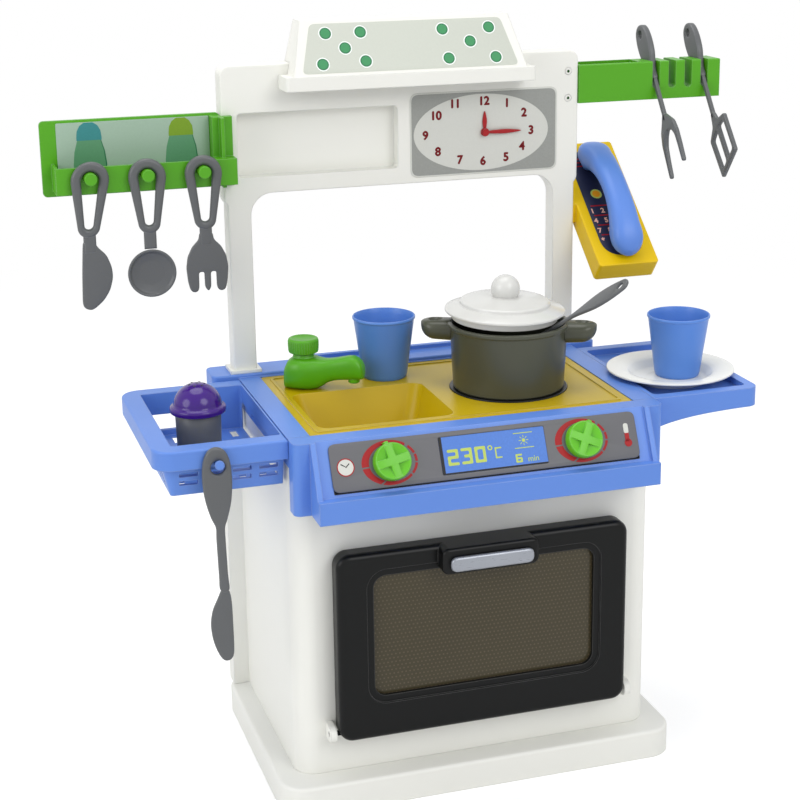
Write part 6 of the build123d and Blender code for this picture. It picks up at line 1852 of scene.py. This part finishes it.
@dataclass
class PotSet:
    """The pot with its dished ears, the lid and the stirring spoon."""

    x: float = 77.0
    y: float = -15.0
    low: float = 430.5
    radius: float = 67.5
    base: float = 64.0
    tall: float = 76.0
    wall: float = 2.5
    ear_turn: float = -25.0
    ear_wide: float = 33.0
    ear_reach: float = 33.5
    ear_deep: float = 23.0
    spoon_turn: float = -50.7
    spoon_tilt: float = 35.0
    spoon_roll: float = 32.0
    spoon_z: float = 510.44
    lid_tilt: float = 1.7
    lid_shift: float = 5.0
    lid_low: float = 518.2
    ball: float = 16.6
    ball_z: float = 25.6

    def pot(self) -> None:
        """The pot: a straight wall under a rolled rim, and two dished ears."""
        face = level(self.low, self.x, self.y)
        r, b, t, h = self.radius, self.base, self.wall, self.tall
        profile = [
            (0, 0.6), (b - 6, 0.6), (b - 5, 0), (b - 1.5, 0), (b, 1.6), (r - 0.2, h - 9), (r + 0.3, h - 6),
            (r + 2.2, h - 4.2), (r + 2.5, h - 2.4), (r + 2.2, h - 0.6), (r + 1.2, h), (r - t + 0.6, h),
            (r - t, h - 0.8), (r - t - 0.4, h - 8), (b - t, t + 3), (b - t - 3, t), (0, t),
        ]
        parts = [turned("pot_wall", face, profile, 128)]
        for turn in (self.ear_turn + 90.0, self.ear_turn - 90.0):
            parts.append(self.ear(face.turned(turn)))
        dressed(merged("pot_piece", parts), POT_GREY, Body.POT, ["pot"])

    def ear(self, face: Face) -> Piece:
        """Make one ear, hollowed on top.

        Args:
            face: the pot's foot, with its up direction pointing out along the ear.

        Returns:
            The ear.
        """
        half, reach, high = self.ear_wide / 2, self.radius + self.ear_reach, self.tall + 1.4
        start = self.radius - 2.0
        stations = []
        for step in range(15):
            t = math.sin(math.pi / 2 * step / 14)
            v = start + (reach - start) * t
            over = max(v - (reach - half), 0.0) / half
            plan = math.sqrt(max(1.0 - over**2, 0.003))
            low = self.tall - self.ear_deep + 15.0 * (1 - plan) + 2.0 * t
            stations.append((v, half * plan, low, high - 4.0 * (1 - plan)))
        lug = pebble("ear", face, stations, power=2.8, steps=36)
        hollow = [(0, high - 3.4), (6.0, high - 3.0), (9.6, high + 0.4), (0, high + 6)]
        return carved(lug, turned("cup", face.turned(0.0, 0.0, reach - half), hollow, 40))

    def lid_face(self) -> Face:
        """Lay the lid's own plane, shifted back and tilted.

        Returns:
            The face.
        """
        turn, tilt = math.radians(self.spoon_turn), math.radians(self.lid_tilt)
        spin = Matrix.Rotation(turn, 3, "Z") @ Matrix.Rotation(tilt, 3, "Y")
        x = self.x - self.lid_shift * math.cos(turn)
        y = self.y - self.lid_shift * math.sin(turn)
        return Face((x, y, self.lid_low), tuple(spin @ Vector((1, 0, 0))), tuple(spin @ Vector((0, 1, 0))))

    def lid(self) -> None:
        """The white lid: a brim, a step, a low dome and a ball knob."""
        under = [(0, 13.8), (42.0, 6.2), (58.8, 0.2)]
        outer = [
            (59.0, 0.2), (59.0, -8.4), (61.0, -8.4), (61.0, 0.0), (69.0, 0.0), (69.0, 2.6), (53.4, 8.4),
            (52.0, 8.2), (51.6, 11.6), (49.6, 12.8), (20.0, 17.0), (16.0, 17.0),
        ]
        ball = [
            (self.ball * math.cos(a), self.ball_z + self.ball * math.sin(a)) for a in angles(16, -29.0, 119.0)
        ]
        profile = under + eased(outer, 0.6, False, 3) + ball[:-1] + [(0, self.ball_z + self.ball)]
        dressed(turned("pot_lid_piece", self.lid_face(), profile, 128), LID_WHITE, Body.LID, ["pot_lid"])

    def spoon_face(self) -> Face:
        """Lay the stirring spoon's middle plane, its origin where it rests on the pot's rim.

        Returns:
            The face, with its up direction along the handle.
        """
        turn, tilt = math.radians(self.spoon_turn), math.radians(self.spoon_tilt)
        reach = self.radius - self.wall
        origin = (self.x + reach * math.cos(turn), self.y + reach * math.sin(turn), self.spoon_z)
        across = Vector((math.sin(turn), -math.cos(turn), 0))
        out = Vector((-math.cos(turn) * math.sin(tilt), -math.sin(turn) * math.sin(tilt), math.cos(tilt)))
        up = out.cross(across)
        spin = Matrix.Rotation(math.radians(self.spoon_roll), 3, up)
        return Face(origin, tuple(spin @ across), tuple(up))

    def spoon(self) -> None:
        """The stirring spoon that leans out between pot and lid."""
        face = self.spoon_face()
        half = [
            (0.0, 104.0), (6.5, 101.5), (9.6, 93.0), (12.0, 74.0), (11.0, 56.0), (6.6, 38.0), (3.2, 24.0),
            (2.5, 10.0), (2.5, -60.0), (3.2, -84.0),
        ]
        handle = [flowing(mirrored(half), 6), circle(0, 93.0, 4.4, 28)]
        edge = [
            (0.0, -76.0), (9.0, -80.0), (16.0, -90.0), (18.0, -99.0), (15.0, -111.0), (8.0, -119.5),
            (0.0, -122.0),
        ]
        parts = [
            moulded_plate("handle", face, handle, -2.0, 2.0, 1.5, 3),
            moulded_plate("bowl", face, [flowing(mirrored(edge), 6)], -2.0, 2.0, 1.2, 2),
        ]
        dressed(merged("pot_spoon_piece", parts), STONE, Body.STIRRER, ["pot_spoon"])

    def build(self) -> None:
        """Make the pot, its lid and the spoon."""
        self.pot()
        self.lid()
        self.spoon()


@dataclass
class Tableware:
    """Two cups and the dinner plate."""

    rim: float = 37.0
    base: float = 26.0
    tall: float = 74.0
    left: Triple = (-46.0, 73.0, 429.0)
    right: Triple = (288.0, -23.0, 424.2)
    plate: Triple = (275.0, -31.0, 422.0)

    def cup(self, name: str, place: Triple) -> Piece:
        """Make a cup, with a foot ring and a thin lip.

        Args:
            name: the piece's name.
            place: the middle of its foot.

        Returns:
            The cup.
        """
        r, b, h = self.rim, self.base, self.tall
        profile = [
            (0, 1.4), (b - 4.6, 1.4), (b - 4.0, 0.2), (b - 1.2, 0.0), (b - 0.2, 1.2), (b + 0.8, 5.0),
            (r - 1.5, h - 5.2), (r - 0.9, h - 3.4), (r - 0.1, h - 2.8), (r, h - 0.9), (r - 0.6, h),
            (r - 1.5, h), (r - 2.0, h - 1.0), (r - 3.1, h - 7), (b - 1.4, 3.4), (b - 4.0, 2.0), (0, 2.0),
        ]
        return turned(name, level(place[2], place[0], place[1]), profile, 96, 50.0)

    def build(self) -> None:
        """Make the cups and the plate."""
        dressed(self.cup("left_cup_piece", self.left), CUP_BLUE, Body.LEFT_CUP, ["left_cup"])
        dressed(self.cup("right_cup_piece", self.right), CUP_BLUE, Body.RIGHT_CUP, ["right_cup"])
        profile = [
            (0, 0.8), (40.5, 0.8), (41.5, 0.0), (44.0, 0.0), (46.0, 2.4), (52.2, 9.0), (58.0, 11.0),
            (73.0, 12.4), (74.6, 12.9), (75.0, 13.9), (74.6, 14.8), (73.4, 15.0), (57.0, 13.2),
            (51.0, 11.8), (49.0, 10.4), (43.6, 3.6), (41.0, 2.3), (30.0, 2.2), (29.0, 2.0), (27.6, 2.2),
            (0, 2.2),
        ]
        face = level(self.plate[2], self.plate[0], self.plate[1])
        dressed(turned("plate_piece", face, profile, 128, 50.0), PLATE_WHITE, Body.PLATE, ["plate"])


@dataclass
class Shaker:
    """The grey shaker with its glossy purple dome."""

    x: float = -285.0
    y: float = -8.0
    low: float = 378.0
    radius: float = 25.5
    tall: float = 62.0
    cap_z: float = 440.3
    hole_ring: float = 8.0
    holes: int = 6

    def jar(self) -> None:
        """The grey jar."""
        r, h = self.radius, self.tall
        profile = [
            (0, 0.8), (r - 6, 0.8), (r - 5, 0), (r - 2.6, 0), (r - 1.5, 1.2), (r, h - 0.6), (r - 0.6, h),
            (r - 1.5, h), (r - 2.0, h - 1), (r - 3.4, 3), (0, 2.0),
        ]
        jar = turned("shaker_jar", level(self.low, self.x, self.y), profile, 96, 50.0)
        dressed(jar, STONE, Body.SHAKER, ["shaker_body"])

    def dome(self) -> None:
        """The purple dome on its collar, and near-black discs of painted shade for the small holes in its
        top.
        """
        face = level(self.cap_z, self.x, self.y)
        dome = [(26.8 * math.cos(a), 1.4 + 25.4 * math.sin(a)) for a in angles(18, 4.0, 86.0)]
        collar = [
            (25.9, -5.9), (29.0, -5.9), (30.4, -5.2), (31.0, -3.8), (31.0, -0.4), (30.2, 1.2), (28.8, 1.9),
            (27.6, 2.2),
        ]
        inside = [(0, 26.8), (0, 24.6), (14.0, 21.2), (22.0, 13.0), (24.6, 3.0), (25.9, 0.0), (25.9, -5.9)]
        cap = turned("shaker_dome", face, collar + dome[:-1] + inside, 96, 40.0)
        dressed(cap, PLUM, Body.SHAKER_TOP, ["shaker_cap"])
        # Painted shade: near-black caps stand for the dark insides of the holes.
        holes = [turned("hole", face, [(0, 26.84), (1.5, 26.8), (1.6, 26.2)], 20)]
        for number in range(self.holes):
            spot = face.turned(360.0 / self.holes * number).turned(0.0, self.hole_ring)
            holes.append(turned("hole", spot, [(0, 25.9), (1.5, 25.8), (1.6, 25.0)], 20))
        dressed(merged("shaker_hole_shade", holes), INK, Body.SHAKER_TOP)

    def build(self) -> None:
        """Make the jar and the dome."""
        self.jar()
        self.dome()


# Stage and camera

PURE_WHITE = (1.0, 1.0, 1.0, 1.0)


@dataclass
class Studio:
    """The plain pale floor, the surroundings and the soft lamps."""

    floor_reach: float = 60.0
    floor_shade: float = 0.86
    fade_start: float = 1.1
    fade_length: float = 1.6
    ambient: float = 0.66
    glow: float = 0.3

    def world(self) -> None:
        """Even light from all round, with white behind the object."""
        world = bpy.data.worlds.new("studio")
        world.use_nodes = True
        world.node_tree.nodes.clear()
        graph = Graph(world.node_tree)
        path = graph.add("ShaderNodeLightPath").outputs
        seen = graph.math("MAXIMUM", path["Is Camera Ray"], path["Is Glossy Ray"])
        seen = graph.math("MAXIMUM", seen, path["Is Transmission Ray"])
        lit = graph.add("ShaderNodeBackground", {"Color": PURE_WHITE, "Strength": self.ambient})
        white = graph.add("ShaderNodeBackground", {"Color": PURE_WHITE, "Strength": 1.0})
        mix = graph.add("ShaderNodeMixShader", {0: seen, 1: lit.outputs[0], 2: white.outputs[0]})
        graph.add("ShaderNodeOutputWorld", {"Surface": mix.outputs[0]})
        bpy.context.scene.world = world

    def floor_material(self) -> bpy.types.Material:
        """Build a pale surface that keeps the object's shadow and is plain white further off.

        Returns:
            The Blender material.
        """
        material, graph, shader = new_material("pale_floor")
        camera_ray = graph.add("ShaderNodeLightPath").outputs["Is Camera Ray"]
        shade = self.floor_shade
        graph.feed(shader, {
            "Base Color": (shade, shade, shade, 1.0),
            "Roughness": 0.9,
            "Specular IOR Level": 0.1,
            "Emission Color": PURE_WHITE,
            "Emission Strength": graph.math("MULTIPLY", camera_ray, self.glow),
        })
        away = graph.add("ShaderNodeVectorMath", {0: graph.place()}, operation="LENGTH").outputs["Value"]
        reach = {"Value": away, "From Min": self.fade_start, "From Max": self.fade_start + self.fade_length}
        fade = graph.add("ShaderNodeMapRange", reach, interpolation_type="SMOOTHSTEP")
        share = graph.math("MULTIPLY", fade.outputs[0], camera_ray)
        white = graph.add("ShaderNodeEmission", {"Color": PURE_WHITE, "Strength": 1.0})
        mix = graph.add("ShaderNodeMixShader", {0: share, 1: shader.outputs[0], 2: white.outputs[0]})
        graph.feed(graph.tree.nodes["Material Output"], {"Surface": mix.outputs[0]})
        return material

    def floor(self) -> None:
        """The wide floor that the kitchen stands on."""
        mesh = bpy.data.meshes.new("floor")
        far = self.floor_reach
        mesh.from_pydata([(u, v, 0) for u, v in box(-far, far, -far, far)], [], [(0, 1, 2, 3)])
        mesh.materials.append(self.floor_material())
        plane = bpy.data.objects.new("floor", mesh)
        bpy.context.scene.collection.objects.link(plane)

    def lamp(self, name: str, place: Triple, aim: Triple, size: float, power: float) -> None:
        """Hang a large soft lamp.

        Args:
            name: the lamp's name.
            place: where it hangs, in metres.
            aim: the point that it looks at.
            size: how wide it is.
            power: its power in watts.
        """
        light = bpy.data.lights.new(name, "AREA")
        light.shape = "DISK"
        light.size = size
        light.energy = power
        lamp = bpy.data.objects.new(name, light)
        lamp.location = place
        lamp.rotation_euler = (Vector(aim) - Vector(place)).to_track_quat("-Z", "Y").to_euler()
        bpy.context.scene.collection.objects.link(lamp)

    def build(self) -> None:
        """Set the surroundings, the floor and the lamps."""
        self.world()
        self.floor()
        self.lamp("key", (1.3, -3.2, 2.7), (0.0, 0.0, 0.4), 2.4, 48.0)
        self.lamp("fill", (-3.2, -1.0, 1.7), (0.0, 0.0, 0.4), 2.2, 34.0)
        self.lamp("top", (-0.3, 0.4, 3.4), (0.0, 0.0, 0.4), 2.4, 38.0)
        bpy.context.scene.view_settings.view_transform = "Standard"


@dataclass
class PhotoCamera:
    """The camera at the photograph's place."""

    place: Triple = (-0.6191, -1.8525, 1.0190)
    yaw: float = 17.83
    pitch: float = 15.67
    roll: float = -0.6
    lens: float = 79.61
    shift: Pair = (-0.027, -0.058)

    def build(self) -> None:
        """Set the scene's camera."""
        yaw, pitch, roll = (math.radians(angle) for angle in (self.yaw, self.pitch, self.roll))
        ahead = Vector((math.sin(yaw) * math.cos(pitch), math.cos(yaw) * math.cos(pitch), -math.sin(pitch)))
        right = Vector((math.cos(yaw), -math.sin(yaw), 0.0))
        up = right.cross(ahead)
        across = right * math.cos(roll) + up * math.sin(roll)
        above = up * math.cos(roll) - right * math.sin(roll)
        camera = bpy.data.cameras.new("photo_camera")
        camera.lens = self.lens
        camera.sensor_width = 36.0
        camera.sensor_fit = "HORIZONTAL"
        camera.shift_x, camera.shift_y = self.shift
        holder = bpy.data.objects.new("photo_camera", camera)
        turn = Matrix((across, above, -ahead)).transposed().to_4x4()
        holder.matrix_world = Matrix.Translation(self.place) @ turn
        bpy.context.scene.collection.objects.link(holder)
        bpy.context.scene.camera = holder


def main() -> None:
    """Build the stage and every sub-assembly over the frame."""
    logging.basicConfig(level=logging.INFO, format="%(message)s")
    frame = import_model()
    assemblies = (
        Studio(), PhotoCamera(), Mouldings(frame["nodes"]), OvenDoor(), Tap(), Console(), Hood(),
        Clock(), LeftRack(), Phone(), Cutlery(), Spatula(), RackTools(), PotSet(), Tableware(), Shaker(),
    )
    for assembly in assemblies:
        LOG.info("building %s", type(assembly).__name__)
        assembly.build()


if __name__ == "__main__":
    main()
